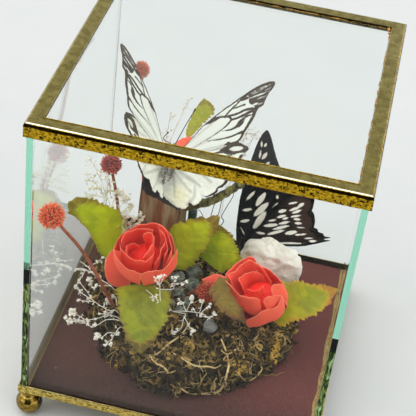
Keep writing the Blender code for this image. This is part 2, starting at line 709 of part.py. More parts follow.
def build_sprays(ground):
    """White, cream and dark sprays round the arrangement."""
    lift = 1.2
    spray(
        "white_spray_left", ground.above(-35.0, -19.0, lift),
        [(-54.6, -30.6, 31.0), (-57.0, -6.0, 32.0), (-39.4, -40.0, 33.0), (-46.0, -14.0, 36.0)],
        WHITE_SPRAY_MAT, seed=3,
    )
    spray(
        "white_spray_centre", ground.above(-5.6, -20.6, lift),
        [(-14.4, -27.4, 57.6), (-7.6, -19.4, 42.0), (2.4, -25.4, 36.6), (-2.4, -32.0, 36.0)],
        WHITE_SPRAY_MAT, seed=8,
    )
    spray(
        "cream_spray_back_left", ground.above(-45.6, 4.4, lift),
        [(-57.0, -6.6, 89.0), (-50.0, 6.0, 90.0), (-57.2, -5.0, 67.0), (-42.0, 12.0, 76.0)],
        CREAM_SPRAY_MAT, stem=0.35, bud=0.6, twigs=1, seed=5,
    )
    spray(
        "cream_spray_back", ground.above(-2.0, 38.0, lift),
        [(-9.0, 55.4, 92.0), (-1.6, 50.0, 92.0), (5.0, 48.0, 88.0)],
        CREAM_SPRAY_MAT, stem=0.35, bud=0.5, twigs=1, seed=6,
    )
    spray(
        "cream_spray_tall", ground.above(-31.0, 36.0, lift),
        [(-31.6, 53.0, 83.4), (-24.6, 56.0, 90.0)],
        CREAM_SPRAY_MAT, stem=0.35, bud=0.5, twigs=1, seed=4,
    )
    spray(
        "dark_twigs", ground.above(-2.4, 22.4, lift),
        [(-1.2, 22.0, 67.6), (1.4, 23.0, 70.0), (6.6, 24.6, 72.0), (6.6, 21.0, 50.0)],
        TWIG_MAT, stem=0.35, bud=0.25, sag=0.0, twigs=1, seed=9,
    )


def build_glue():
    """A bead of amber glue in the back right corner of the top opening."""
    reach = WIDTH / 2.0 - ANGLE_WIDTH - GAP
    glass_face = TOP_Z - BRASS - GAP
    size = (1.3, 2.6, 0.6)
    centre = (reach - size[0], reach - size[1], glass_face + GAP + size[2])
    lumpy_stone("amber_glue_bead", centre, size, GLUE_MAT, 7)


def main():
    """Builds the case and everything in it."""
    build_frame()
    build_feet()
    mound = build_mound()
    ground = Ground(mound)
    for piece in [build_post(), *build_stones()]:
        sink_into(mound, piece)
    build_perch(ground)
    build_white_butterfly()
    build_black_butterfly()
    build_flowers(ground)
    build_leaves()
    build_globe_flowers(ground)
    build_sprays(ground)
    build_glue()


main()
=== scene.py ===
"""Butterfly in a glass box: the finished look of a brass-edged glass case on
ball feet, with two mounted butterflies, roses, leaves, dried flowers, stones
and driftwood on a mound of moss.

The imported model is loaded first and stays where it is. Lengths below are
millimetres from the case's own datum plane, DATUM above the floor, unless a
docstring says otherwise; `in_world` turns them into metres in the frame.
"""
import json
import logging
import math
import random
from dataclasses import dataclass, field
from enum import Enum
from typing import Callable, Iterable, Sequence

import bmesh
import bpy
import numpy as np
from mathutils import Matrix, Vector, noise
from mathutils.bvhtree import BVHTree
from mathutils.geometry import delaunay_2d_cdt

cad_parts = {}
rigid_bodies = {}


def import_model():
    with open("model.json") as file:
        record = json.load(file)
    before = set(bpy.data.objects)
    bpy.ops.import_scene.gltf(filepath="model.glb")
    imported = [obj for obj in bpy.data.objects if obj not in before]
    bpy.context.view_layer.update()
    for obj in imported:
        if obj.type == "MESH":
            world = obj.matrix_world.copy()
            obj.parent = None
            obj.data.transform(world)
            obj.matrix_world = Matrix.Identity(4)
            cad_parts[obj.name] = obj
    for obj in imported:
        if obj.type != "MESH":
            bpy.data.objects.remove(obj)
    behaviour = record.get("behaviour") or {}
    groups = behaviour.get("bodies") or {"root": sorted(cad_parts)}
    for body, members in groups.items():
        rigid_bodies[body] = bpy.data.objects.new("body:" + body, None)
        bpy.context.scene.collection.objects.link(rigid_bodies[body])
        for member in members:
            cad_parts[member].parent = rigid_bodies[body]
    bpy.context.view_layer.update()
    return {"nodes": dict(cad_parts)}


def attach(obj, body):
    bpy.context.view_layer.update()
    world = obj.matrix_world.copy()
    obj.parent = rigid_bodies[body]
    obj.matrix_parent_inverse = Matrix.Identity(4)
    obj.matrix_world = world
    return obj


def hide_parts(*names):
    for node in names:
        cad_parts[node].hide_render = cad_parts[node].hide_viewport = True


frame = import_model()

LOG = logging.getLogger("glass_box")

MM = 0.001
DATUM = 3.7
ROOT = "root"

# The case as built; the rail's rim is 1.1 mm lower than the solids' and meets the photo
HALF = 63.5
TOP_Z = 147.3
RIM_LOW_Z = 9.7
RIM_Z = 13.7
ANGLE_WIDTH = 6.35
BRASS = 0.8
GLASS = 2.5
GLASS_IN = 59.9
BOARD_Z = 12.0

# How far stems stand in the mat
SUNK = 0.3

Point = tuple[float, float, float]
Flat = tuple[float, float]
Colour = tuple[float, float, float]
Socket = bpy.types.NodeSocket


def in_world(points: np.ndarray) -> np.ndarray:
    """Datum millimetres to metres in the frame."""
    return (np.asarray(points, dtype=float) + (0.0, 0.0, DATUM)) * MM


def rgb(red: int, green: int, blue: int) -> Colour:
    """A colour as it looks on screen, as linear light.

    Args:
        red, green, blue: what the screen shows, 0 to 255.

    Returns:
        The same colour in linear light.
    """

    def linear(value: float) -> float:
        """One of the three in linear light."""
        share = value / 255.0
        return share / 12.92 if share <= 0.04045 else ((share + 0.055) / 1.055) ** 2.4

    return (linear(red), linear(green), linear(blue))


class Wiring:
    """Adds nodes to a tree and links them."""

    def __init__(self, tree: bpy.types.NodeTree) -> None:
        """Takes the tree to work on."""
        self.tree = tree

    def node(self, kind: str, values: dict | None = None, **settings: object) -> bpy.types.Node:
        """A node with its settings and its inputs, each a value or a socket.

        Args:
            kind: the node type's identifier.
            values: the inputs to feed, by name or number.
            settings: the node's own properties.

        Returns:
            The new node.
        """
        made = self.tree.nodes.new(kind)
        for key, value in settings.items():
            setattr(made, key, value)
        for key, value in (values or {}).items():
            self.feed(made.inputs[key], value)
        return made

    def feed(self, socket: Socket, value: object) -> None:
        """Links a socket to an input, or sets the input's value.

        Args:
            socket: the input.
            value: a socket, or a value that the input takes; a colour may have three parts.
        """
        if isinstance(value, bpy.types.NodeSocket):
            self.tree.links.new(value, socket)
        elif isinstance(value, tuple) and len(value) == 3 and socket.type == "RGBA":
            socket.default_value = (*value, 1.0)
        else:
            socket.default_value = value

    def parts(self, vector: Socket) -> bpy.types.NodeOutputs:
        """A vector's X, Y and Z."""
        return self.node("ShaderNodeSeparateXYZ", {"Vector": vector}).outputs

    def sums(self, operation: str, first: object, second: object = 0.0) -> Socket:
        """One step of arithmetic."""
        return self.node("ShaderNodeMath", {0: first, 1: second}, operation=operation).outputs[0]

    def plus(self, first: object, second: object) -> Socket:
        """The sum of two values."""
        return self.sums("ADD", first, second)

    def less(self, first: object, second: object) -> Socket:
        """The first value less the second."""
        return self.sums("SUBTRACT", first, second)

    def times(self, first: object, second: object) -> Socket:
        """The product of two values."""
        return self.sums("MULTIPLY", first, second)

    def between(self, value: Socket, low: float, high: float, out_low: float = 0.0,
                out_high: float = 1.0) -> Socket:
        """The value's share of the way from low to high, smoothed and clamped.

        Args:
            value: the number that is placed.
            low, high: where the share is 0 and 1.
            out_low, out_high: what is given there.

        Returns:
            The socket of what is given.
        """
        values = {"Value": value, "From Min": low, "From Max": high, "To Min": out_low,
                  "To Max": out_high}
        return self.node("ShaderNodeMapRange", values, interpolation_type="SMOOTHSTEP").outputs[0]


class Paint(Wiring):
    """Builds the node tree of one Principled material."""

    def __init__(self, name: str) -> None:
        """Starts a material with its Principled shader.

        Args:
            name: the material's name.
        """
        self.material = bpy.data.materials.new(name)
        self.material.use_nodes = True
        super().__init__(self.material.node_tree)
        self.shader = self.tree.nodes["Principled BSDF"]

    def place(self, stretch: Point = (1.0, 1.0, 1.0)) -> Socket:
        """Object coordinates in millimetres, stretched.

        Args:
            stretch: what each axis is multiplied by; under 1 draws a pattern out along it.

        Returns:
            The coordinates' socket.
        """
        where = self.node("ShaderNodeTexCoord").outputs["Object"]
        scale = tuple(1.0 / MM * part for part in stretch)
        return self.node("ShaderNodeMapping", {"Vector": where, "Scale": scale}).outputs[0]

    def grain(self, scale: float, detail: float = 3.0, where: Socket | None = None,
              warp: float = 0.0) -> Socket:
        """Noise from 0 to 1.

        Args:
            scale: lumps a millimetre.
            detail: how many finer layers it has.
            where: the coordinates, plain ones if not given.
            warp: how far the noise bends itself.

        Returns:
            The noise's socket.
        """
        values = {"Vector": where or self.place(), "Scale": scale, "Detail": detail,
                  "Distortion": warp}
        return self.node("ShaderNodeTexNoise", values).outputs["Fac"]

    def cells(self, scale: float, where: Socket) -> Socket:
        """Distance to the nearest of many scattered points."""
        return self.node("ShaderNodeTexVoronoi", {"Vector": where, "Scale": scale}).outputs["Distance"]

    def attribute(self, name: str) -> Socket:
        """A number kept on the mesh."""
        return self.node("ShaderNodeAttribute", attribute_name=name).outputs["Fac"]

    def ramp(self, value: Socket, stops: Sequence[tuple[float, Colour]]) -> Socket:
        """A colour read from stops along 0 to 1.

        Args:
            value: the number that picks the colour.
            stops: places from 0 to 1, each with its colour.

        Returns:
            The colour's socket.
        """
        made = self.node("ShaderNodeValToRGB", {"Fac": value})
        bar = made.color_ramp
        while len(bar.elements) < len(stops):
            bar.elements.new(0.5)
        for element, (spot, colour) in zip(bar.elements, stops):
            element.position = spot
            element.color = (*colour, 1.0)
        return made.outputs["Color"]

    def blend(self, share: object, first: object, second: object) -> Socket:
        """Two colours mixed by a share.

        Args:
            share: 0 for the first colour, 1 for the second.
            first, second: the colours, or their sockets.

        Returns:
            The mixed colour's socket.
        """
        made = self.node("ShaderNodeMix", data_type="RGBA", clamp_factor=True)
        for key, value in ((0, share), (6, first), (7, second)):
            self.feed(made.inputs[key], value)
        return made.outputs[2]

    def bump(self, height: Socket, depth: float, strength: float = 1.0) -> Socket:
        """Relief of a depth in millimetres; gives the bent normal."""
        values = {"Height": height, "Distance": depth * MM, "Strength": strength}
        return self.node("ShaderNodeBump", values).outputs["Normal"]

    def finish(self, **values: object) -> bpy.types.Material:
        """Feeds the shader's inputs, named with _ for each space.

        Args:
            values: a value or a socket for each input.

        Returns:
            The finished material.
        """
        for key, value in values.items():
            self.feed(self.shader.inputs[key.replace("_", " ")], value)
        return self.material


@dataclass(frozen=True)
class AgedBrass:
    """Speckled olive brass on top and spotted gold on the sides, with a painted
    highlight along the front of the outer edge, a painted dark line below it for
    the shadow and dark reflection under the lip, and painted shade on the faces
    that look inwards."""

    top: Colour = rgb(160, 148, 84)
    top_dull: Colour = rgb(118, 106, 48)
    side: Colour = rgb(214, 176, 40)
    side_dull: Colour = rgb(112, 82, 12)
    # Colour of the painted highlight on the front of the rounded outer edge
    painted_highlight: Colour = rgb(226, 222, 204)
    # Colour of the pits, and of the painted dark line under the lip
    spot: Colour = rgb(30, 20, 4)
    # Colour of the painted shade on faces that look inwards
    shade: Colour = rgb(92, 86, 58)
    spot_scale: float = 1.0
    spot_share: float = 0.6
    smooth: float = 0.12
    edge: float = TOP_Z + DATUM
    round: float = 1.0
    # How far the painted dark line reaches below the middle of the rounding; below 0 leaves it out
    line: float = 1.2

    def make(self, name: str) -> bpy.types.Material:
        """The brass material; the painted highlight follows the piece's top, `edge` high.

        Args:
            name: the material's name.

        Returns:
            The finished material.
        """
        paint = Paint(name)
        where = paint.place()
        fine = paint.grain(1.6, 5.0, where)
        pits = paint.grain(self.spot_scale, 6.0, where, 0.2)
        streak = paint.grain(0.9, 5.0, paint.place((0.7, 0.7, 1.7)), 0.3)
        normal = paint.node("ShaderNodeNewGeometry").outputs["Normal"]
        facing = paint.parts(normal)
        up = paint.between(facing["Z"], 0.6, 0.98)
        spot = paint.parts(where)
        # Faces that look inwards get painted shade
        outward = paint.plus(paint.times(facing["X"], spot["X"]), paint.times(facing["Y"], spot["Y"]))
        inner = paint.between(outward, -6.0, -30.0)
        sides = [paint.sums("ABSOLUTE", spot[axis]) for axis in ("X", "Y")]
        rim = paint.between(paint.sums("MAXIMUM", *sides), HALF - self.round - 0.2,
                            HALF - self.round + 0.1)
        cloud = paint.plus(paint.times(fine, 0.5), paint.times(paint.grain(0.3, 4.0, where, 0.6), 0.5))
        flat = paint.blend(paint.between(cloud, 0.38, 0.62), self.top, self.top_dull)
        mixed = paint.plus(paint.times(fine, 0.4), paint.times(streak, 0.6))
        wall = paint.blend(paint.between(mixed, 0.36, 0.64), self.side, self.side_dull)
        bare = paint.blend(inner, paint.blend(up, wall, flat), self.shade)
        spotted = paint.between(pits, self.spot_share - 0.05, self.spot_share + 0.04)
        faded = paint.times(spotted, paint.between(up, 0.0, 1.0, 1.0, 0.3))
        pitted = paint.blend(faded, bare, self.spot)
        # Painted highlight on the front of the rounded outer edge
        high = paint.between(spot["Z"], self.edge - self.round * 0.34, self.edge - self.round * 0.22)
        lit = paint.times(paint.times(rim, high), paint.between(facing["Y"], -0.1, -0.3))
        # Painted dark line under the lip: painted shadow and dark reflection
        wobble = paint.plus(spot["Z"], paint.between(streak, 0.3, 0.7, -0.25, 0.25))
        line = self.edge - self.round * 0.5 - self.line
        below = paint.times(paint.between(wobble, line - 0.2, line + 0.2), rim)
        lower = paint.between(facing["Z"], 0.75, 0.55)
        dark = paint.times(paint.times(below, lower), paint.between(lit, 0.0, 1.0, 1.0, 0.0))
        colour = paint.blend(dark, paint.blend(lit, pitted, self.painted_highlight), self.spot)
        rough = paint.between(fine, 0.25, 0.8, self.smooth, self.smooth + 0.14)
        dimmer = paint.plus(paint.times(faded, 0.25), paint.times(up, 0.12))
        relief = paint.bump(paint.less(mixed, faded), 0.08, 0.6)
        return paint.finish(Base_Color=colour, Metallic=1.0, Roughness=paint.plus(rough, dimmer),
                            Normal=relief)


@dataclass(frozen=True)
class ClearGlass:
    """Float glass: clear through its face and teal along its length. Down the
    front corners its edges are painted black, dark green, gold and pale, a painted
    reflection of the brass and glue seen inside the pane; low on the left pane an
    olive strip stands in for the rail's inner face, its olive partly the brass's
    and partly painted shade."""

    absorb: Colour = (0.0, 0.79, 0.52)
    density: float = 7.2
    # Top of the painted reflection down the front corners; above it the glass shows its teal
    teal_from: float = 78.0 + DATUM
    painted_dark_from: float = 70.6 + DATUM
    # Colours of the painted reflection of brass and glue down the front corners
    black: Colour = rgb(10, 16, 14)
    green: Colour = rgb(38, 58, 20)
    gold: Colour = rgb(120, 136, 66)
    pale: Colour = rgb(160, 200, 160)
    # Colour of the olive strip low on the left pane, standing in for the rail's inner face: partly the
    # brass's olive, partly painted shade
    dirt: Colour = rgb(150, 132, 58)
    strip_top: float = BOARD_Z + 7.6 + DATUM

    def make(self, name: str) -> bpy.types.Material:
        """The glass material.

        Args:
            name: the material's name.

        Returns:
            The finished material.
        """
        paint = Paint(name)
        values = {"Color": (*self.absorb, 1.0), "Density": self.density}
        inside = paint.node("ShaderNodeVolumeAbsorption", values)
        paint.feed(paint.tree.nodes["Material Output"].inputs["Volume"], inside.outputs["Volume"])
        where = paint.place()
        spot = paint.parts(where)
        forward = paint.times(spot["Y"], -1.0)
        least = paint.sums("MINIMUM", paint.sums("ABSOLUTE", spot["X"]), forward)
        # Painted reflection of the brass and glue down the front corner edges, painted black higher up
        corner = paint.between(least, GLASS_IN - 0.1, GLASS_IN + 0.1)
        seam = paint.times(corner, paint.between(spot["Z"], self.teal_from, self.teal_from - 0.4))
        streak = paint.grain(0.9, 4.0, paint.place((1.0, 1.0, 0.22)), 1.2)
        painted_reflection = paint.ramp(streak, [(0.34, self.black), (0.46, self.green), (0.58, self.gold),
                                      (0.68, self.pale)])
        painted_dark_band = paint.between(spot["Z"], self.painted_dark_from - 0.8, self.painted_dark_from + 0.4)
        # Olive strip low on the left pane, partly painted shade
        low = paint.times(paint.between(spot["X"], -GLASS_IN, -GLASS_IN - 0.1),
                          paint.between(spot["Z"], self.strip_top + 0.8, self.strip_top - 0.4))
        strip_noise = paint.grain(0.25, 4.0, where, 1.0)
        olive_strip = paint.times(low, paint.between(strip_noise, 0.3, 0.7, 0.55, 0.9))
        clear = paint.blend(olive_strip, (1.0, 1.0, 1.0), self.dirt)
        colour = paint.blend(seam, clear, paint.blend(painted_dark_band, painted_reflection, self.black))
        covered = paint.sums("MAXIMUM", paint.times(seam, 0.88), olive_strip)
        return paint.finish(Base_Color=colour, Roughness=0.0, IOR=1.5, Specular_Tint=(0.1, 0.1, 0.1),
                            Transmission_Weight=paint.less(1.0, covered))


@dataclass(frozen=True)
class PaintedBoard:
    """The maroon base, low in sheen, with dust on it; painted shade darkens its
    front and a dark band along its front border, and a painted gold highlight
    runs along its side edges.
    """

    colour: Colour = rgb(80, 45, 37)
    deep: Colour = rgb(92, 40, 38)
    # Colour of the painted shade at the front
    dark: Colour = rgb(20, 1, 1)
    # Colour of the painted highlight along the side edges
    glue: Colour = rgb(170, 144, 80)
    dust: Colour = rgb(190, 172, 160)

    def make(self, name: str) -> bpy.types.Material:
        """The board material.

        Args:
            name: the material's name.

        Returns:
            The finished material.
        """
        paint = Paint(name)
        where = paint.place()
        cloud = paint.grain(0.03, 3.0, where)
        felt = paint.grain(2.2, 5.0, where)
        spot = paint.parts(where)
        across = paint.plus(spot["X"], paint.between(cloud, 0.3, 0.7, -20.0, 20.0))
        base = paint.blend(paint.between(across, -30.0, 50.0), self.colour, self.deep)
        # Painted shade: darker towards the front, then a painted dark band and a darker line at the
        # front border
        front = paint.blend(paint.between(spot["Y"], -26.0, -56.0, 0.0, 0.66), base, self.dark)
        dark = paint.between(spot["Y"], -55.2, -55.5, 0.0, 0.75)
        line = paint.between(spot["Y"], -56.9, -57.4, 0.0, 0.25)
        front_shaded = paint.blend(paint.plus(dark, line), front, self.dark)
        # Painted gold highlight along the board's side edges
        drift = paint.between(paint.grain(0.07, 3.0, where), 0.35, 0.65, -0.6, 0.3)
        right = paint.between(paint.plus(spot["X"], drift), 58.5, 58.8)
        edged = paint.plus(right, paint.between(spot["X"], -59.2, -59.4))
        speck = paint.between(paint.grain(0.8, 4.0, where), 0.4, 0.6, 1.0, 0.6)
        edge_highlighted = paint.blend(paint.times(edged, speck), front_shaded, self.glue)
        worn = paint.blend(paint.between(felt, 0.2, 0.8, 0.0, 0.1), edge_highlighted, self.dust)
        motes = paint.between(paint.cells(0.12, where), 0.036, 0.024)
        colour = paint.blend(motes, worn, self.dust)
        rough = paint.between(felt, 0.2, 0.8, 0.32, 0.46)
        return paint.finish(Base_Color=colour, Roughness=rough, Specular_IOR_Level=0.02,
                            Normal=paint.bump(felt, 0.02, 0.3))


@dataclass(frozen=True)
class DriedFibre:
    """Moss, lichen, straw: a colour for each strand between three shades."""

    dark: Colour
    middle: Colour
    pale: Colour

    def make(self, name: str) -> bpy.types.Material:
        """A matte fibre material that reads each strand's tint.

        Args:
            name: the material's name.

        Returns:
            The finished material.
        """
        paint = Paint(name)
        tint = paint.attribute("tint")
        where = paint.place()
        grain = paint.grain(0.9, 4.0, where)
        height = paint.parts(where)["Z"]
        cloud = paint.between(paint.grain(0.1, 3.0, where, 0.5), 0.34, 0.66, -0.24, 0.2)
        shaded = paint.plus(cloud, paint.between(height, 15.0, 33.0, -0.26, 0.08))
        mixed = paint.plus(paint.times(tint, 0.7), paint.plus(paint.times(grain, 0.3), shaded))
        colour = paint.ramp(mixed, [(0.12, self.dark), (0.5, self.middle), (0.86, self.pale)])
        relief = paint.bump(paint.grain(3.0, 4.0), 0.2, 0.6)
        return paint.finish(Base_Color=colour, Roughness=0.9, Normal=relief, Specular_IOR_Level=0.1)


@dataclass(frozen=True)
class MossGround:
    """The dark mat under the strands."""

    dark: Colour = rgb(16, 14, 10)
    middle: Colour = rgb(52, 42, 26)
    pale: Colour = rgb(112, 92, 52)

    def make(self, name: str) -> bpy.types.Material:
        """The mat's material.

        Args:
            name: the material's name.

        Returns:
            The finished material.
        """
        paint = Paint(name)
        where = paint.place()
        clump = paint.grain(0.28, 5.0, where, 0.6)
        fine = paint.grain(1.3, 6.0, where, 1.2)
        mixed = paint.plus(paint.times(clump, 0.55), paint.times(fine, 0.45))
        colour = paint.ramp(mixed, [(0.36, self.dark), (0.52, self.middle), (0.66, self.pale)])
        relief = paint.bump(fine, 1.2, 1.0)
        return paint.finish(Base_Color=colour, Roughness=0.95, Normal=relief, Specular_IOR_Level=0.05)


@dataclass(frozen=True)
class WeatheredWood:
    """Upright grain, red-brown at the heart of the face, charred at the rim."""

    grey: Colour = rgb(140, 122, 92)
    brown: Colour = rgb(112, 72, 42)
    dark: Colour = rgb(66, 48, 34)
    char: Colour = rgb(30, 27, 27)
    stretch: Point = (1.0, 1.0, 0.1)

    def make(self, name: str) -> bpy.types.Material:
        """The wood material; `char` on the mesh darkens the rim.

        Args:
            name: the material's name.

        Returns:
            The finished material.
        """
        paint = Paint(name)
        along = paint.place(self.stretch)
        wide = paint.grain(0.11, 3.0, along, 0.5)
        fibre = paint.grain(1.1, 5.0, along, 0.3)
        body = paint.blend(paint.between(wide, 0.44, 0.56), self.grey, self.brown)
        lined = paint.blend(paint.between(fibre, 0.54, 0.7), body, self.dark)
        burnt = paint.plus(paint.attribute("char"), paint.times(paint.grain(0.5, 4.0), 0.3))
        colour = paint.blend(paint.between(burnt, 0.5, 0.85), lined, self.char)
        relief = paint.bump(fibre, 0.5, 0.8)
        return paint.finish(Base_Color=colour, Roughness=0.85, Normal=relief, Specular_IOR_Level=0.15)


@dataclass(frozen=True)
class Mineral:
    """Stone in two shades with veins of a third."""

    light: Colour
    shade: Colour
    vein: Colour
    scale: float = 0.22
    roughness: float = 0.75
    relief: float = 0.5

    def make(self, name: str) -> bpy.types.Material:
        """The stone's material.

        Args:
            name: the material's name.

        Returns:
            The finished material.
        """
        paint = Paint(name)
        where = paint.place()
        cloud = paint.grain(self.scale, 4.0, where, 0.5)
        grit = paint.grain(self.scale * 9.0, 5.0, where)
        body = paint.blend(paint.between(cloud, 0.35, 0.68), self.light, self.shade)
        streak = paint.grain(self.scale * 0.8, 6.0, where, 2.4)
        near = paint.sums("ABSOLUTE", paint.less(streak, 0.5))
        colour = paint.blend(paint.between(near, 0.022, 0.0, 0.0, 0.7), body, self.vein)
        relief = paint.bump(paint.plus(grit, cloud), self.relief, 0.7)
        return paint.finish(Base_Color=colour, Roughness=self.roughness, Normal=relief)


@dataclass(frozen=True)
class CoralPetal:
    """Petals: coral inside, deeper red towards the heart, pinker outside, pale along
    the rim. The deeper red is partly the petals' colour and partly painted shade;
    the pale rim is their lighter edge with a painted highlight.
    """

    # Deep red towards the heart: the petals' colour with painted shade
    deep: Colour = rgb(228, 22, 14)
    inner: Colour = rgb(255, 90, 70)
    outer: Colour = rgb(255, 98, 70)
    low: Colour = rgb(204, 88, 52)
    # Pale rim: the petals' lighter edge with a painted highlight
    rim: Colour = rgb(255, 146, 118)

    def make(self, name: str) -> bpy.types.Material:
        """The petal material, read from `rise`, `outside` and `rim`.

        Args:
            name: the material's name.

        Returns:
            The finished material.
        """
        paint = Paint(name)
        where = paint.place()
        fibre = paint.grain(0.5, 4.0, where, 0.4)
        rise = paint.attribute("rise")
        # Deeper red low inside the petals, partly painted shade
        inside = paint.blend(paint.between(rise, 0.30, 0.86), self.deep, self.inner)
        back = paint.blend(paint.between(rise, 0.0, 0.5), self.low, self.outer)
        body = paint.blend(paint.attribute("outside"), inside, back)
        soft = paint.blend(paint.between(fibre, 0.3, 0.75, 0.0, 0.25), body, self.inner)
        # Pale rim, partly painted highlight
        edge = paint.between(paint.attribute("rim"), 0.8, 0.0, 0.0, 0.6)
        colour = paint.blend(edge, soft, self.rim)
        relief = paint.bump(paint.grain(1.4, 4.0, where, 0.5), 0.12, 0.5)
        return paint.finish(Base_Color=colour, Roughness=0.6, Normal=relief,
                            Subsurface_Weight=0.35, Subsurface_Scale=0.002,
                            Subsurface_Radius=(1.0, 0.25, 0.16), Specular_IOR_Level=0.25)


@dataclass(frozen=True)
class LeafGreen:
    """Leaf blades: green along the veins, ochre and brown at the teeth."""

    heart: Colour = rgb(182, 194, 6)
    field: Colour = rgb(148, 160, 2)
    dry: Colour = rgb(150, 124, 26)
    brown: Colour = rgb(112, 78, 26)
    vein: Colour = rgb(172, 178, 52)

    def make(self, name: str) -> bpy.types.Material:
        """The leaf material, read from `edge`, `vein` and the position.

        Args:
            name: the material's name.

        Returns:
            The finished material.
        """
        paint = Paint(name)
        where = paint.place()
        cloud = paint.grain(0.11, 4.0, where, 0.6)
        fine = paint.grain(0.8, 5.0, where, 0.3)
        body = paint.blend(paint.between(cloud, 0.35, 0.65), self.heart, self.field)
        edge = paint.plus(paint.attribute("edge"), paint.times(paint.less(cloud, 0.5), 4.0))
        tip = paint.less(edge, paint.between(paint.attribute("along"), 0.66, 1.0, 0.0, 5.5))
        dried = paint.blend(paint.between(tip, 2.6, -1.0, 0.0, 0.9), body, self.dry)
        crisp = paint.blend(paint.between(tip, 0.6, -2.2, 0.0, 0.85), dried, self.brown)
        lined = paint.between(paint.attribute("vein"), 0.55, 0.0, 0.0, 0.28)
        colour = paint.blend(lined, crisp, self.vein)
        relief = paint.bump(paint.plus(fine, lined), 0.18, 0.6)
        return paint.finish(Base_Color=colour, Roughness=0.5, Normal=relief, Specular_IOR_Level=0.3,
                            Subsurface_Weight=0.3, Subsurface_Scale=0.003,
                            Subsurface_Radius=(0.6, 1.0, 0.1))


@dataclass(frozen=True)
class WingScales:
    """Wing colours: a ground, dark marks, faint veins and a warm root; on the
    hindwings the faint layer is painted grey shade along the folds.
    """

    ground: Colour
    warm: Colour
    dark: Colour
    faint: Colour
    dusty: Colour

    def make(self, name: str) -> bpy.types.Material:
        """The wing material, read from signed distances kept on the mesh.

        Args:
            name: the material's name.

        Returns:
            The finished material.
        """
        paint = Paint(name)
        where = paint.place()
        dust = paint.grain(2.6, 5.0, where)
        wobble = paint.times(paint.less(paint.grain(1.1, 3.0, where), 0.5), 0.5)
        warmed = paint.blend(paint.attribute("warm"), self.ground, self.warm)
        # Faint veins; on the hindwings, painted grey shade along the folds
        soft = paint.between(paint.attribute("faint"), 0.8, -0.5, 0.0, 0.6)
        veined = paint.blend(soft, warmed, self.faint)
        marks = paint.plus(paint.attribute("marks"), wobble)
        cover = paint.between(marks, 0.14, -0.14)
        deep = paint.blend(paint.between(dust, 0.45, 0.72), self.dark, self.dusty)
        colour = paint.blend(cover, veined, deep)
        relief = paint.bump(paint.less(dust, soft), 0.08, 0.5)
        return paint.finish(Base_Color=colour, Roughness=0.75, Normal=relief, Specular_IOR_Level=0.05)


@dataclass(frozen=True)
class DryStem:
    """Stems, bark, tape and sprays: two shades along the grain."""

    light: Colour
    dark: Colour
    scale: float = 0.7
    roughness: float = 0.8
    relief: float = 0.25

    def make(self, name: str) -> bpy.types.Material:
        """The stem material.

        Args:
            name: the material's name.

        Returns:
            The finished material.
        """
        paint = Paint(name)
        where = paint.place()
        grain = paint.grain(self.scale, 5.0, where, 0.8)
        fine = paint.grain(self.scale * 4.0, 4.0, where)
        colour = paint.blend(paint.between(grain, 0.35, 0.65), self.light, self.dark)
        relief = paint.bump(paint.plus(grain, fine), self.relief, 0.7)
        return paint.finish(Base_Color=colour, Roughness=self.roughness, Normal=relief)


@dataclass(frozen=True)
class SpikyHead:
    """Dried globe flowers: bracts from a dark root to a bright tip."""

    root: Colour
    tip: Colour
    turned: Colour

    def make(self, name: str) -> bpy.types.Material:
        """The bract material, read from `reach` and `tint`.

        Args:
            name: the material's name.

        Returns:
            The finished material.
        """
        paint = Paint(name)
        fresh = paint.blend(paint.between(paint.attribute("tint"), 0.35, 0.75), self.tip, self.turned)
        colour = paint.blend(paint.between(paint.attribute("reach"), 0.62, 0.96), self.root, fresh)
        relief = paint.bump(paint.grain(2.5, 3.0), 0.1, 0.5)
        return paint.finish(Base_Color=colour, Roughness=0.85, Normal=relief)


@dataclass(frozen=True)
class AmberGlue:
    """Clear amber glue with dirt in it."""

    colour: Colour = rgb(222, 160, 60)
    dirt: Colour = rgb(120, 70, 16)

    def make(self, name: str) -> bpy.types.Material:
        """The glue material.

        Args:
            name: the material's name.

        Returns:
            The finished material.
        """
        paint = Paint(name)
        lumps = paint.grain(1.2, 4.0)
        colour = paint.blend(paint.between(lumps, 0.4, 0.7), self.colour, self.dirt)
        return paint.finish(Base_Color=colour, Roughness=0.25, IOR=1.48, Transmission_Weight=0.35,
                            Normal=paint.bump(lumps, 0.3, 0.6))


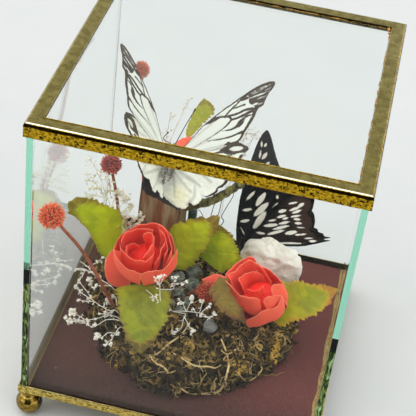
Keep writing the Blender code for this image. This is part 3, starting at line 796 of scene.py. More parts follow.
class Finish(Enum):
    """Every finish on the object, by the record's slot where it has one."""

    BRASS = AgedBrass()
    # Base rails: the fifth colour is their painted highlight along the top edge; line=-1.0 leaves out
    # the painted dark line
    RIM_BRASS = AgedBrass(rgb(226, 208, 140), rgb(150, 128, 70), rgb(232, 208, 116), rgb(130, 102, 28),
                          rgb(232, 218, 160), spot_share=0.64, edge=RIM_Z + DATUM, round=0.5, line=-1.0)
    FOOT_BRASS = AgedBrass(rgb(190, 168, 90), rgb(104, 82, 32), rgb(170, 142, 68), rgb(74, 56, 18),
                           spot_share=0.68, smooth=0.08, edge=99.0)
    GLASS = ClearGlass()
    BOARD = PaintedBoard()
    MOSS = MossGround()
    FRONDS = DriedFibre(rgb(26, 21, 12), rgb(84, 66, 30), rgb(156, 130, 72))
    CURLS = DriedFibre(rgb(50, 36, 14), rgb(120, 90, 40), rgb(200, 164, 92))
    STRAW = DriedFibre(rgb(136, 108, 62), rgb(196, 166, 106), rgb(230, 208, 154))
    LICHEN = DriedFibre(rgb(170, 122, 34), rgb(216, 170, 62), rgb(236, 204, 108))
    WOOD = WeatheredWood()
    WHITE_STONE = Mineral(rgb(232, 229, 218), rgb(208, 204, 192), rgb(196, 182, 160), 0.12)
    GRAVEL = Mineral(rgb(136, 144, 128), rgb(74, 82, 70), rgb(44, 50, 42), 0.5)
    PEBBLE = Mineral(rgb(150, 152, 144), rgb(98, 104, 100), rgb(70, 74, 72), 0.4, 0.45, 0.2)
    CORAL = CoralPetal()
    LEAF = LeafGreen()
    LOW_LEAF = LeafGreen(rgb(140, 146, 2), rgb(106, 112, 1), rgb(128, 104, 20), rgb(86, 60, 20),
                         rgb(150, 152, 44))
    GOLD_LEAF = LeafGreen(rgb(158, 160, 2), rgb(124, 126, 1), rgb(184, 132, 22), rgb(150, 92, 28),
                          rgb(160, 156, 36))
    # The leaf hanging in front of the right rose: olive-brown, darkened with painted shade
    OLIVE_LEAF = LeafGreen(rgb(122, 104, 16), rgb(98, 72, 12), rgb(112, 60, 18), rgb(70, 40, 14),
                           rgb(128, 104, 36))
    PALE_LEAF = LeafGreen(rgb(206, 208, 80), rgb(180, 178, 70), rgb(186, 168, 84), rgb(150, 118, 58),
                          rgb(214, 212, 120))
    WHITE_WING = WingScales(rgb(224, 227, 218), rgb(228, 222, 182), rgb(54, 43, 36),
                            rgb(166, 163, 150), rgb(112, 98, 84))
    BLACK_WING = WingScales(rgb(8, 12, 13), rgb(62, 44, 36), rgb(255, 253, 244),
                            rgb(30, 30, 30), rgb(232, 224, 204))
    GREY_FUR = DryStem(rgb(150, 146, 136), rgb(70, 66, 62), 1.2, 0.95)
    BLACK_FUR = DryStem(rgb(44, 42, 42), rgb(18, 17, 18), 1.2, 0.8)
    BARK = DryStem(rgb(132, 130, 58), rgb(56, 50, 34), 0.3, 0.9, 0.6)
    TAPE = DryStem(rgb(36, 78, 58), rgb(18, 42, 32), 0.8, 0.55)
    RUST_STEM = DryStem(rgb(176, 96, 58), rgb(118, 56, 36), 0.8)
    DARK_TWIG = DryStem(rgb(84, 76, 66), rgb(44, 38, 34), 1.0)
    WHITE_SPRAY = DryStem(rgb(248, 246, 236), rgb(224, 216, 196), 0.6, 0.85)
    CREAM_SPRAY = DryStem(rgb(240, 234, 212), rgb(204, 194, 162), 0.6, 0.85)
    GLOBE_ORANGE = SpikyHead(rgb(156, 46, 26), rgb(255, 106, 72), rgb(226, 150, 96))
    GLOBE_MAUVE = SpikyHead(rgb(96, 44, 40), rgb(216, 112, 98), rgb(158, 98, 94))
    GLOBE_DUSTY = SpikyHead(rgb(140, 70, 52), rgb(250, 138, 120), rgb(196, 156, 118))
    GLOBE_RED = SpikyHead(rgb(104, 32, 16), rgb(232, 104, 68), rgb(176, 70, 42))
    AMBER = AmberGlue()


class Dresser:
    """Makes each finish once and hands it out."""

    def __init__(self) -> None:
        """Starts with nothing made."""
        self.made: dict[Finish, bpy.types.Material] = {}

    def __call__(self, finish: Finish) -> bpy.types.Material:
        """The material of a finish.

        Args:
            finish: one of the object's finishes.

        Returns:
            Its material, the same one each time.
        """
        if finish not in self.made:
            self.made[finish] = finish.value.make(finish.name.lower())
        return self.made[finish]


DRESS = Dresser()


def stray(rng: random.Random, *spans: Flat) -> np.ndarray:
    """A random number from each span, drawn in their order."""
    return np.array([rng.uniform(low, high) for low, high in spans])


def ball(subdivisions: int, radius: float = 1.0) -> tuple[list[Vector], list[list[int]]]:
    """The points and faces of an even ball.

    Args:
        subdivisions: how finely it is divided.
        radius: its radius.

    Returns:
        Its points, and the numbers of each face's points.
    """
    made = bmesh.new()
    bmesh.ops.create_icosphere(made, subdivisions=subdivisions, radius=radius)
    points = [vert.co.copy() for vert in made.verts]
    faces = [[vert.index for vert in face.verts] for face in made.faces]
    made.free()
    return points, faces


def ring_faces(rings: int, sides: int, first: int = 0) -> list[tuple[int, ...]]:
    """Faces between rings that follow one another, numbered from the first point.

    Args:
        rings: how many rings there are.
        sides: how many points a ring has.
        first: the number of the first point.

    Returns:
        The faces, of four points each.
    """
    steps = [(k, (k + 1) % sides) for k in range(sides)]
    return [(low + k, low + nxt, low + sides + nxt, low + sides + k)
            for low in range(first, first + (rings - 1) * sides, sides) for k, nxt in steps]


def fan_faces(apex: int, sides: int, first: int) -> list[tuple[int, ...]]:
    """Faces from one point to a ring."""
    return [(apex, first + k, first + (k + 1) % sides) for k in range(sides)]


class Shape:
    """Points and faces gathered into one mesh, with numbers kept on the points."""

    def __init__(self, *keys: str) -> None:
        """Starts an empty shape.

        Args:
            keys: names of the numbers that each point carries.
        """
        self.points: list[np.ndarray] = []
        self.faces: list[tuple[int, ...]] = []
        self.numbers: dict[str, list[np.ndarray]] = {key: [] for key in keys}
        self.count = 0

    def add(self, points: np.ndarray, faces: Iterable[Sequence[int]], **numbers: object) -> None:
        """Adds points and faces; a missing number is 0.

        Args:
            points: their places, in millimetres.
            faces: the numbers of each face's points, from 0 for the first one given.
            numbers: one value, or one for each point, by key.
        """
        points = np.asarray(points, dtype=float).reshape(-1, 3)
        self.faces.extend(tuple(i + self.count for i in face) for face in faces)
        self.points.append(points)
        for key, kept in self.numbers.items():
            kept.append(np.broadcast_to(np.asarray(numbers.get(key, 0.0), dtype=float), len(points)))
        self.count += len(points)

    def tube(self, route: Sequence[Sequence[float]], radii: Sequence[float], sides: int = 6,
             squash: float = 1.0, **numbers: object) -> None:
        """Adds a round rod along a route, closed at both ends.

        Args:
            route: points along its middle, in millimetres.
            radii: one radius, or one for each point.
            sides: how many flats it has round it.
            squash: its depth as a share of its width.
            numbers: one value, or one for each point of the route, by key.
        """
        path = np.asarray(route, dtype=float)
        radii = np.broadcast_to(np.asarray(radii, dtype=float), len(path))
        ways = np.gradient(path, axis=0)
        ways /= np.linalg.norm(ways, axis=1)[:, None] + 1e-12
        side = np.cross(ways[0], (0.31, 0.17, 0.93))
        rings = []
        for place, way, radius in zip(path, ways, radii):
            side = side - way * side.dot(way)
            side /= np.linalg.norm(side) + 1e-12
            over = np.cross(way, side)
            turns = np.arange(sides) * 2.0 * math.pi / sides
            rings.append(place + radius * (np.outer(np.cos(turns), side)
                                           + squash * np.outer(np.sin(turns), over)))
        last = (len(path) - 1) * sides
        faces = [*ring_faces(len(path), sides), tuple(range(sides - 1, -1, -1)),
                 tuple(range(last, last + sides))]
        spread = {key: np.repeat(np.broadcast_to(value, len(path)), sides)
                  for key, value in numbers.items()}
        self.add(np.vstack(rings), faces, **spread)

    def shell(self, grid: np.ndarray, thickness: float, two_sided: bool = False,
              **numbers: np.ndarray) -> None:
        """Adds a thin closed sheet round a grid of points (rows, columns, 3).

        Args:
            grid: the middle of the sheet, in millimetres.
            thickness: the sheet's thickness, in millimetres.
            two_sided: whether `outside` is 0 on one face and 1 on the other.
            numbers: a value for each point of the grid, by key.
        """
        rows, columns = grid.shape[:2]
        run = np.gradient(grid, axis=0)
        across = np.gradient(grid, axis=1)
        normal = np.cross(run, across)
        normal /= np.linalg.norm(normal, axis=2)[:, :, None] + 1e-12
        upper = (grid + normal * thickness / 2.0).reshape(-1, 3)
        lower = (grid - normal * thickness / 2.0).reshape(-1, 3)
        total = rows * columns
        faces = []
        for i in range(rows - 1):
            for j in range(columns - 1):
                a, b = i * columns + j, (i + 1) * columns + j
                faces.append((a, b, b + 1, a + 1))
                faces.append((total + a, total + a + 1, total + b + 1, total + b))
        loop = list(range(columns))
        loop += [i * columns + columns - 1 for i in range(1, rows)]
        loop += [(rows - 1) * columns + j for j in range(columns - 2, -1, -1)]
        loop += [i * columns for i in range(rows - 2, 0, -1)]
        for k, here in enumerate(loop):
            nxt = loop[(k + 1) % len(loop)]
            faces.append((here, nxt, total + nxt, total + here))
        both = {key: np.tile(np.asarray(value, dtype=float).reshape(-1), 2)
                for key, value in numbers.items()}
        if two_sided:
            both["outside"] = np.concatenate([np.zeros(total), np.ones(total)])
        self.add(np.vstack([upper, lower]), faces, **both)

    def bud(self, place: Sequence[float], size: float, rng: random.Random) -> None:
        """Adds a small uneven lump, such as a floret.

        Args:
            place: its middle, in millimetres.
            size: its radius, in millimetres.
            rng: draws its unevenness.
        """
        middle = np.asarray(place, dtype=float)
        faces = []
        points = []
        for ring, height in enumerate((-0.5, 0.4)):
            for k in range(5):
                turn = (k + 0.5 * ring) * 2.0 * math.pi / 5.0
                reach = size * rng.uniform(0.75, 1.25)
                points.append(middle + (reach * math.cos(turn), reach * math.sin(turn),
                                        size * (height + rng.uniform(-0.25, 0.25))))
        points += [middle - (0.0, 0.0, size * 0.9), middle + (0.0, 0.0, size)]
        for k in range(5):
            nxt = (k + 1) % 5
            faces += [(k, nxt, 5 + k), (nxt, 5 + nxt, 5 + k), (nxt, k, 10), (5 + k, 5 + nxt, 11)]
        self.add(np.array(points), faces)

    def mesh(self, name: str, finish: Finish) -> bpy.types.Mesh:
        """The shape as a mesh in the frame, its faces turned outwards.

        Args:
            name: the mesh's name.
            finish: the finish it wears.

        Returns:
            The mesh.
        """
        made = bpy.data.meshes.new(name)
        made.from_pydata(in_world(np.vstack(self.points)).tolist(), [], self.faces)
        for key, kept in self.numbers.items():
            store = made.attributes.new(key, "FLOAT", "POINT")
            store.data.foreach_set("value", np.concatenate(kept).astype(np.float32))
        turned = bmesh.new()
        turned.from_mesh(made)
        bmesh.ops.recalc_face_normals(turned, faces=turned.faces)
        turned.to_mesh(made)
        turned.free()
        made.shade_smooth()
        made.materials.append(DRESS(finish))
        return made

    def piece(self, name: str, finish: Finish, slot: str,
              replaces: Sequence[str] = ()) -> bpy.types.Object:
        """The shape as a piece that rides on the body."""
        return set_out(self.mesh(name, finish), replaces)

    def small(self, name: str) -> bpy.types.Mesh:
        """The shape as a bare mesh in metres about its origin, to be scattered.

        Args:
            name: the mesh's name.

        Returns:
            The mesh, without a finish.
        """
        made = bpy.data.meshes.new(name)
        made.from_pydata((np.vstack(self.points) * MM).tolist(), [], self.faces)
        made.shade_smooth()
        return made


def set_out(mesh: bpy.types.Mesh, replaces: Sequence[str] = ()) -> bpy.types.Object:
    """Puts a finished mesh in the scene as a piece of the object.

    Args:
        mesh: the mesh, in the frame; its name is the piece's name.
        replaces: the CAD nodes that the piece stands for.

    Returns:
        The piece.
    """
    made = bpy.data.objects.new(mesh.name, mesh)
    bpy.context.scene.collection.objects.link(made)
    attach(made, ROOT)
    if replaces:
        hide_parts(*replaces)
    LOG.info("%s: %d faces", made.name, len(mesh.polygons))
    return made


def smooth_route(points: Sequence[Sequence[float]], per_span: int = 6) -> np.ndarray:
    """A smooth line through a few points.

    Args:
        points: what it passes through.
        per_span: steps from one to the next.

    Returns:
        The points along it.
    """
    route = np.asarray(points, dtype=float)
    ends = np.vstack([2 * route[0] - route[1], route, 2 * route[-1] - route[-2]])
    made = []
    for i in range(1, len(ends) - 2):
        p0, p1, p2, p3 = ends[i - 1 : i + 3]
        for k in range(per_span):
            t = k / per_span
            bend = 2 * p0 - 5 * p1 + 4 * p2 - p3
            twist = 3 * p1 - 3 * p2 + p3 - p0
            made.append(0.5 * (2 * p1 + (p2 - p0) * t + bend * t * t + twist * t**3))
    made.append(route[-1])
    return np.array(made)


def closed_route(points: Sequence[Flat], per_span: int = 6) -> np.ndarray:
    """A smooth closed outline through a few points.

    Args:
        points: what it passes through, in order.
        per_span: steps from one to the next.

    Returns:
        The points round it, none of them twice.
    """
    loop = list(points)
    line = smooth_route([loop[-1], *loop, loop[0], loop[1]], per_span)
    return line[per_span : -per_span - 1]


def unit(vector: Sequence[float]) -> np.ndarray:
    """The vector at length 1."""
    made = np.asarray(vector, dtype=float)
    return made / np.linalg.norm(made)


def lumps(points: np.ndarray, scale: float, seed: float = 0.0) -> np.ndarray:
    """Smooth noise from about -1 to 1 at each point; scale is lumps a millimetre."""
    shift = Vector((seed * 3.1, seed * 1.7, seed * 2.3))
    return np.array([noise.noise(Vector(p) * scale + shift) for p in points])


@dataclass(frozen=True)
class PhotoView:
    """The camera that saw the case, and rays through points of its picture."""

    place: Point = (53.73, -425.8, 411.79)
    turn: Point = (51.8513, -6.0041, 12.1538)
    focal: float = 1288.94
    frame_size: float = 416.0
    sensor: float = 36.0

    def add_camera(self) -> None:
        """Makes the scene's camera."""
        data = bpy.data.cameras.new("camera")
        data.sensor_width = self.sensor
        data.lens = self.focal / self.frame_size * self.sensor
        data.clip_start = 0.01
        data.clip_end = 20.0
        camera = bpy.data.objects.new("camera", data)
        camera.location = in_world(np.array(self.place))
        camera.rotation_euler = [math.radians(part) for part in self.turn]
        bpy.context.scene.collection.objects.link(camera)
        bpy.context.scene.camera = camera

    def ray(self, across: float, down: float) -> Vector:
        """The direction through a point of the 416 by 416 picture.

        Args:
            across: the point's distance from the left.
            down: its distance from the top.

        Returns:
            The direction, at length 1.
        """
        turn = Matrix.Rotation(math.radians(self.turn[2]), 3, "Z")
        turn = turn @ Matrix.Rotation(math.radians(self.turn[1]), 3, "Y")
        turn = turn @ Matrix.Rotation(math.radians(self.turn[0]), 3, "X")
        half = self.frame_size / 2.0
        return (turn @ Vector((across - half, half - down, -self.focal))).normalized()


VIEW = PhotoView()


@dataclass
class Case:
    """Brass angle, ball feet, panes, board and the glue that shows."""

    sides: tuple[str, ...] = ("front", "right", "back", "left")
    edge_round: float = 1.4
    rail_steps: int = 90
    mitre_gap: float = 0.06
    sharp_over: float = 40.0
    top_wear: float = 0.05
    base_wear: float = 0.08
    foot_inset: float = 4.0
    foot_radius: float = 5.6
    foot_sides: int = 56

    def rounded(self, corner: Flat, start: float, radius: float, steps: int = 6) -> list[Flat]:
        """A quarter circle round a corner of a profile, from an angle in degrees.

        Args:
            corner: the middle of the circle.
            start: the first point's angle.
            radius: the circle's radius.
            steps: how many spans it has.

        Returns:
            The points, in order.
        """
        return [(corner[0] + radius * math.cos(math.radians(start + 90.0 * i / steps)),
                 corner[1] + radius * math.sin(math.radians(start + 90.0 * i / steps)))
                for i in range(steps + 1)]

    def top_profile(self) -> list[Flat]:
        """The top angle as (depth in from the outer face, height).

        Returns:
            The points round the metal, in order.
        """
        r = self.edge_round
        fine = 0.3
        low = TOP_Z - ANGLE_WIDTH
        outer = [(r - r * math.cos(math.radians(a)), TOP_Z - r + r * math.sin(math.radians(a)))
                 for a in range(0, 91, 10)]
        inner = [(ANGLE_WIDTH - fine + x, TOP_Z - fine + y)
                 for x, y in self.rounded((0.0, 0.0), 90.0, fine, 3)[::-1]]
        return [(fine, low), (0.0, low + fine), *outer, *inner,
                (ANGLE_WIDTH, TOP_Z - BRASS), (BRASS, TOP_Z - BRASS), (BRASS, low)]

    def base_profile(self) -> list[Flat]:
        """The base angle as (depth in from the outer face, height).

        Returns:
            The points round the metal, in order.
        """
        fine = 0.25
        return [(fine, RIM_LOW_Z), (0.0, RIM_LOW_Z + fine), (0.0, RIM_Z - fine), (fine, RIM_Z),
                (BRASS - fine, RIM_Z), (BRASS, RIM_Z - fine), (BRASS, RIM_LOW_Z + BRASS),
                (ANGLE_WIDTH, RIM_LOW_Z + BRASS), (ANGLE_WIDTH, RIM_LOW_Z)]

    def rails(self, prefix: str, profile: list[Flat], wear: float, finish: Finish) -> None:
        """Four mitred rails, a little uneven along their length, as brass angle is.

        Args:
            prefix: the CAD nodes' name before the side.
            profile: the section, as (depth in, height).
            wear: how far the metal wanders, in millimetres.
            finish: the brass it shows.
        """
        depth, height = np.array(profile).T
        count = len(profile)
        last = self.rail_steps * count
        faces = [*ring_faces(self.rail_steps + 1, count), tuple(range(count)),
                 tuple(range(last, last + count))]
        for turn, side in enumerate(self.sides):
            shape = Shape()
            spin = np.array(Matrix.Rotation(turn * math.pi / 2.0, 3, "Z"))
            rows = []
            for step in range(self.rail_steps + 1):
                share = 2.0 * step / self.rail_steps - 1.0
                reach = (HALF - depth - self.mitre_gap) * share
                row = np.column_stack([reach, depth - HALF, height])
                drift = wear * noise.noise(Vector((share * 9.0, turn * 7.0, height[0])))
                row[:, 1] += drift * 0.5 + abs(wear) * 0.5
                row[:, 2] += drift * 0.4
                rows.append(row @ spin.T)
            shape.add(np.vstack(rows), faces)
            made = shape.piece(f"{prefix}_{side}_brass", finish, "brass", (f"{prefix}_{side}",))
            made.data.set_sharp_from_angle(angle=math.radians(self.sharp_over))

    def foot_profile(self) -> list[Flat]:
        """A ball foot as (radius, height), top to bottom: collar, neck and ball.

        Returns:
            The points, in order.
        """
        centre = self.foot_radius - DATUM
        top = RIM_LOW_Z - 0.3
        line = [(0.0, top), (3.7, top), (3.9, top - 0.15), (3.95, top - 0.7), (3.75, top - 1.05),
                (3.3, top - 1.2), (3.2, top - 1.45), (3.45, top - 1.65), (3.5, top - 1.9),
                (3.2, top - 2.1)]
        line += [(self.foot_radius * math.cos(math.radians(a)),
                  centre + self.foot_radius * math.sin(math.radians(a)))
                 for a in range(60, -69, -6)]
        return line + [(2.0, -DATUM), (0.0, -DATUM)]

    def feet(self) -> None:
        """Four turned ball feet."""
        profile = self.foot_profile()
        reach = HALF - self.foot_inset
        n = self.foot_sides
        turns = 2.0 * math.pi * np.arange(n) / n
        last = 1 + (len(profile) - 2) * n
        faces = [*fan_faces(0, n, 1), *ring_faces(len(profile) - 2, n, 1), *fan_faces(last, n, last - n)]
        for depth, y in (("front", -reach), ("back", reach)):
            for side, x in (("left", -reach), ("right", reach)):
                rings = [np.column_stack([x + radius * np.cos(turns), y + radius * np.sin(turns),
                                          np.full(n, height)]) for radius, height in profile[1:-1]]
                shape = Shape()
                shape.add(np.vstack([(x, y, profile[0][1]), *rings, (x, y, profile[-1][1])]), faces)
                shape.piece(f"ball_foot_{depth}_{side}_brass", Finish.FOOT_BRASS, "brass",
                            (f"ball_foot_{depth}_{side}",))

    def seam(self, shape: Shape, start: Point, end: Point, size: float, seed: int,
             bare: float = 0.0) -> None:
        """A bead of glue along a seam, thick and thin, with bare stretches.

        Args:
            shape: where the bead goes.
            start, end: the seam's ends, in millimetres.
            size: the bead's usual radius.
            seed: sets where it is thick and thin.
            bare: the swell under which it thins to a third.
        """
        steps = max(12, int(np.linalg.norm(np.subtract(end, start)) / 1.2))
        route, radii = [], []
        for k in range(steps + 1):
            share = k / steps
            spot = np.array(start) + (np.array(end) - np.array(start)) * share
            swell = noise.noise(Vector((share * steps * 0.35, seed * 5.3, 0.0)))
            route.append(spot)
            radii.append(max(0.06, size * (0.8 + 0.7 * swell) * (0.35 if swell < bare else 1.0)))
        shape.tube(route, radii, 6)

    def glue(self) -> None:
        """Amber glue along the right and back edges of the top opening, and its bead in the back corner.
        """
        opening = HALF - ANGLE_WIDTH
        face = TOP_Z - BRASS - 0.15
        beads = Shape()
        self.seam(beads, (opening + 0.1, -opening, face), (opening + 0.1, opening, face), 0.42, 1)
        self.seam(beads, (-opening, opening + 0.1, face), (opening, opening + 0.1, face), 0.28, 2, -0.1)
        rng = random.Random(7)
        for spot, size in (((0.6, 1.6, 0.3), 1.0), ((0.2, 4.0, 0.2), 0.8), ((0.9, 0.4, 0.2), 0.7)):
            beads.bud((opening - spot[0], opening - spot[1], face + spot[2]), size, rng)
        beads.piece("amber_glue_beads", Finish.AMBER, "amber_glue", ("amber_glue_bead",))

    def dress_nodes(self) -> None:
        """Gives the carried-over panes and board their finishes."""
        for name in ("left", "right", "front", "back", "top"):
            frame["nodes"][f"glass_{name}"].material_slots[0].material = DRESS(Finish.GLASS)
        frame["nodes"]["base_board"].material_slots[0].material = DRESS(Finish.BOARD)

    def build(self) -> None:
        """Makes and dresses the case."""
        self.rails("top_rail", self.top_profile(), self.top_wear, Finish.BRASS)
        self.rails("base_rail", self.base_profile(), self.base_wear, Finish.RIM_BRASS)
        self.feet()
        self.glue()
        self.dress_nodes()


class ScatterTree(Wiring):
    """A node tree that scatters small shapes over a surface."""

    inputs = {"Geometry": "Geometry", "Density": "Float", "Seed": "Int", "Smallest": "Float",
              "Largest": "Float", "Lean": "Float", "Shapes": "Collection", "Material": "Material"}

    def __init__(self, name: str) -> None:
        """Builds the tree: strewn points, a shape on each, sized, leaned and tinted.

        Args:
            name: the tree's name.
        """
        super().__init__(bpy.data.node_groups.new(name, "GeometryNodeTree"))
        face = self.tree.interface
        self.ids: dict[str, str] = {}
        for label, kind in self.inputs.items():
            made = face.new_socket(label, in_out="INPUT", socket_type=f"NodeSocket{kind}")
            self.ids[label] = made.identifier
        face.new_socket("Geometry", in_out="OUTPUT", socket_type="NodeSocketGeometry")
        self.given = given = self.node("NodeGroupInput").outputs
        shapes = self.node("GeometryNodeCollectionInfo", {
            "Collection": given["Shapes"], "Separate Children": True, "Reset Children": True})
        strewn = self.node("GeometryNodeDistributePointsOnFaces", {
            "Mesh": given["Geometry"], "Density": given["Density"], "Seed": given["Seed"]}).outputs
        put = self.node("GeometryNodeInstanceOnPoints", {
            "Points": strewn["Points"], "Rotation": strewn["Rotation"], "Instance": shapes.outputs[0],
            "Pick Instance": True, "Instance Index": self.chance("INT", 11, {4: 0, 5: 99}).outputs[2],
            "Scale": self.chance("FLOAT", 12, {2: given["Smallest"], 3: given["Largest"]}).outputs[1]})
        back = self.times(given["Lean"], -1.0)
        least = self.node("ShaderNodeCombineXYZ", {"X": back, "Y": back})
        most = self.node("ShaderNodeCombineXYZ", {
            "X": given["Lean"], "Y": given["Lean"], "Z": 2.0 * math.pi})
        lean = self.chance("FLOAT_VECTOR", 13, {0: least.outputs[0], 1: most.outputs[0]})
        leaned = self.node("GeometryNodeRotateInstances", {
            "Instances": put.outputs[0], "Rotation": lean.outputs[0]})
        kept = self.node("GeometryNodeStoreNamedAttribute", {
            "Geometry": leaned.outputs[0], "Name": "tint", "Value": self.chance("FLOAT", 14).outputs[1],
        }, data_type="FLOAT", domain="INSTANCE")
        real = self.node("GeometryNodeRealizeInstances", {0: kept.outputs[0]})
        dressed = self.node("GeometryNodeSetMaterial", {
            "Geometry": real.outputs[0], "Material": given["Material"]})
        self.node("NodeGroupOutput", {0: dressed.outputs[0]})

    def chance(self, kind: str, shift: int, values: dict | None = None) -> bpy.types.Node:
        """A random value of its own for each instance, from the seed and a shift.

        Args:
            kind: the kind of value.
            shift: what is added to the seed, so that no two draws are the same.
            values: the ends of the range, by the input's number.

        Returns:
            The node.
        """
        seed = self.node("FunctionNodeIntegerMath", {0: self.given["Seed"], 1: shift},
                         operation="ADD").outputs[0]
        return self.node("FunctionNodeRandomValue", {**(values or {}), "Seed": seed}, data_type=kind)

    def scatter(self, name: str, surface: bpy.types.Mesh, shapes: Sequence[bpy.types.Mesh],
                finish: Finish, **inputs: float) -> bpy.types.Mesh:
        """Scatters the shapes and returns the result as one plain mesh.

        Args:
            name: the new mesh's name.
            surface: what they grow from, in the frame.
            shapes: meshes in metres, growing up from their origins.
            finish: the finish they all wear.
            inputs: values for the tree's named inputs, spaces as they are.

        Returns:
            The strewn shapes, made real.
        """
        group = bpy.data.collections.new(f"{name}_shapes")
        helpers = [bpy.data.objects.new(f"{name}_shape_{k}", mesh) for k, mesh in enumerate(shapes)]
        for helper in helpers:
            group.objects.link(helper)
        holder = bpy.data.objects.new(f"{name}_surface", surface)
        bpy.context.scene.collection.objects.link(holder)
        step = holder.modifiers.new("scatter", "NODES")
        step.node_group = self.tree
        for label, value in {**inputs, "Shapes": group, "Material": DRESS(finish)}.items():
            step[self.ids[label]] = value
        graph = bpy.context.evaluated_depsgraph_get()
        made = bpy.data.meshes.new_from_object(holder.evaluated_get(graph))
        holder.modifiers.remove(step)
        made.name = name
        for helper in (holder, *helpers):
            bpy.data.objects.remove(helper)
        bpy.data.collections.remove(group)
        return made


def sprig(name: str, route: np.ndarray, radii: Sequence[float], sides: int = 3,
          branches: Sequence[tuple[np.ndarray, float]] = ()) -> bpy.types.Mesh:
    """A small strand growing up from its origin, with side branches, in metres.

    Args:
        name: the mesh's name.
        route: points along it, in millimetres.
        radii: its radius at each.
        sides: how many flats it has round it.
        branches: the points and the radius of each side branch.

    Returns:
        The mesh.
    """
    shape = Shape()
    shape.tube(route, radii, sides)
    for branch, radius in branches:
        shape.tube(branch, np.linspace(radius, radius * 0.4, len(branch)), sides)
    return shape.small(name)


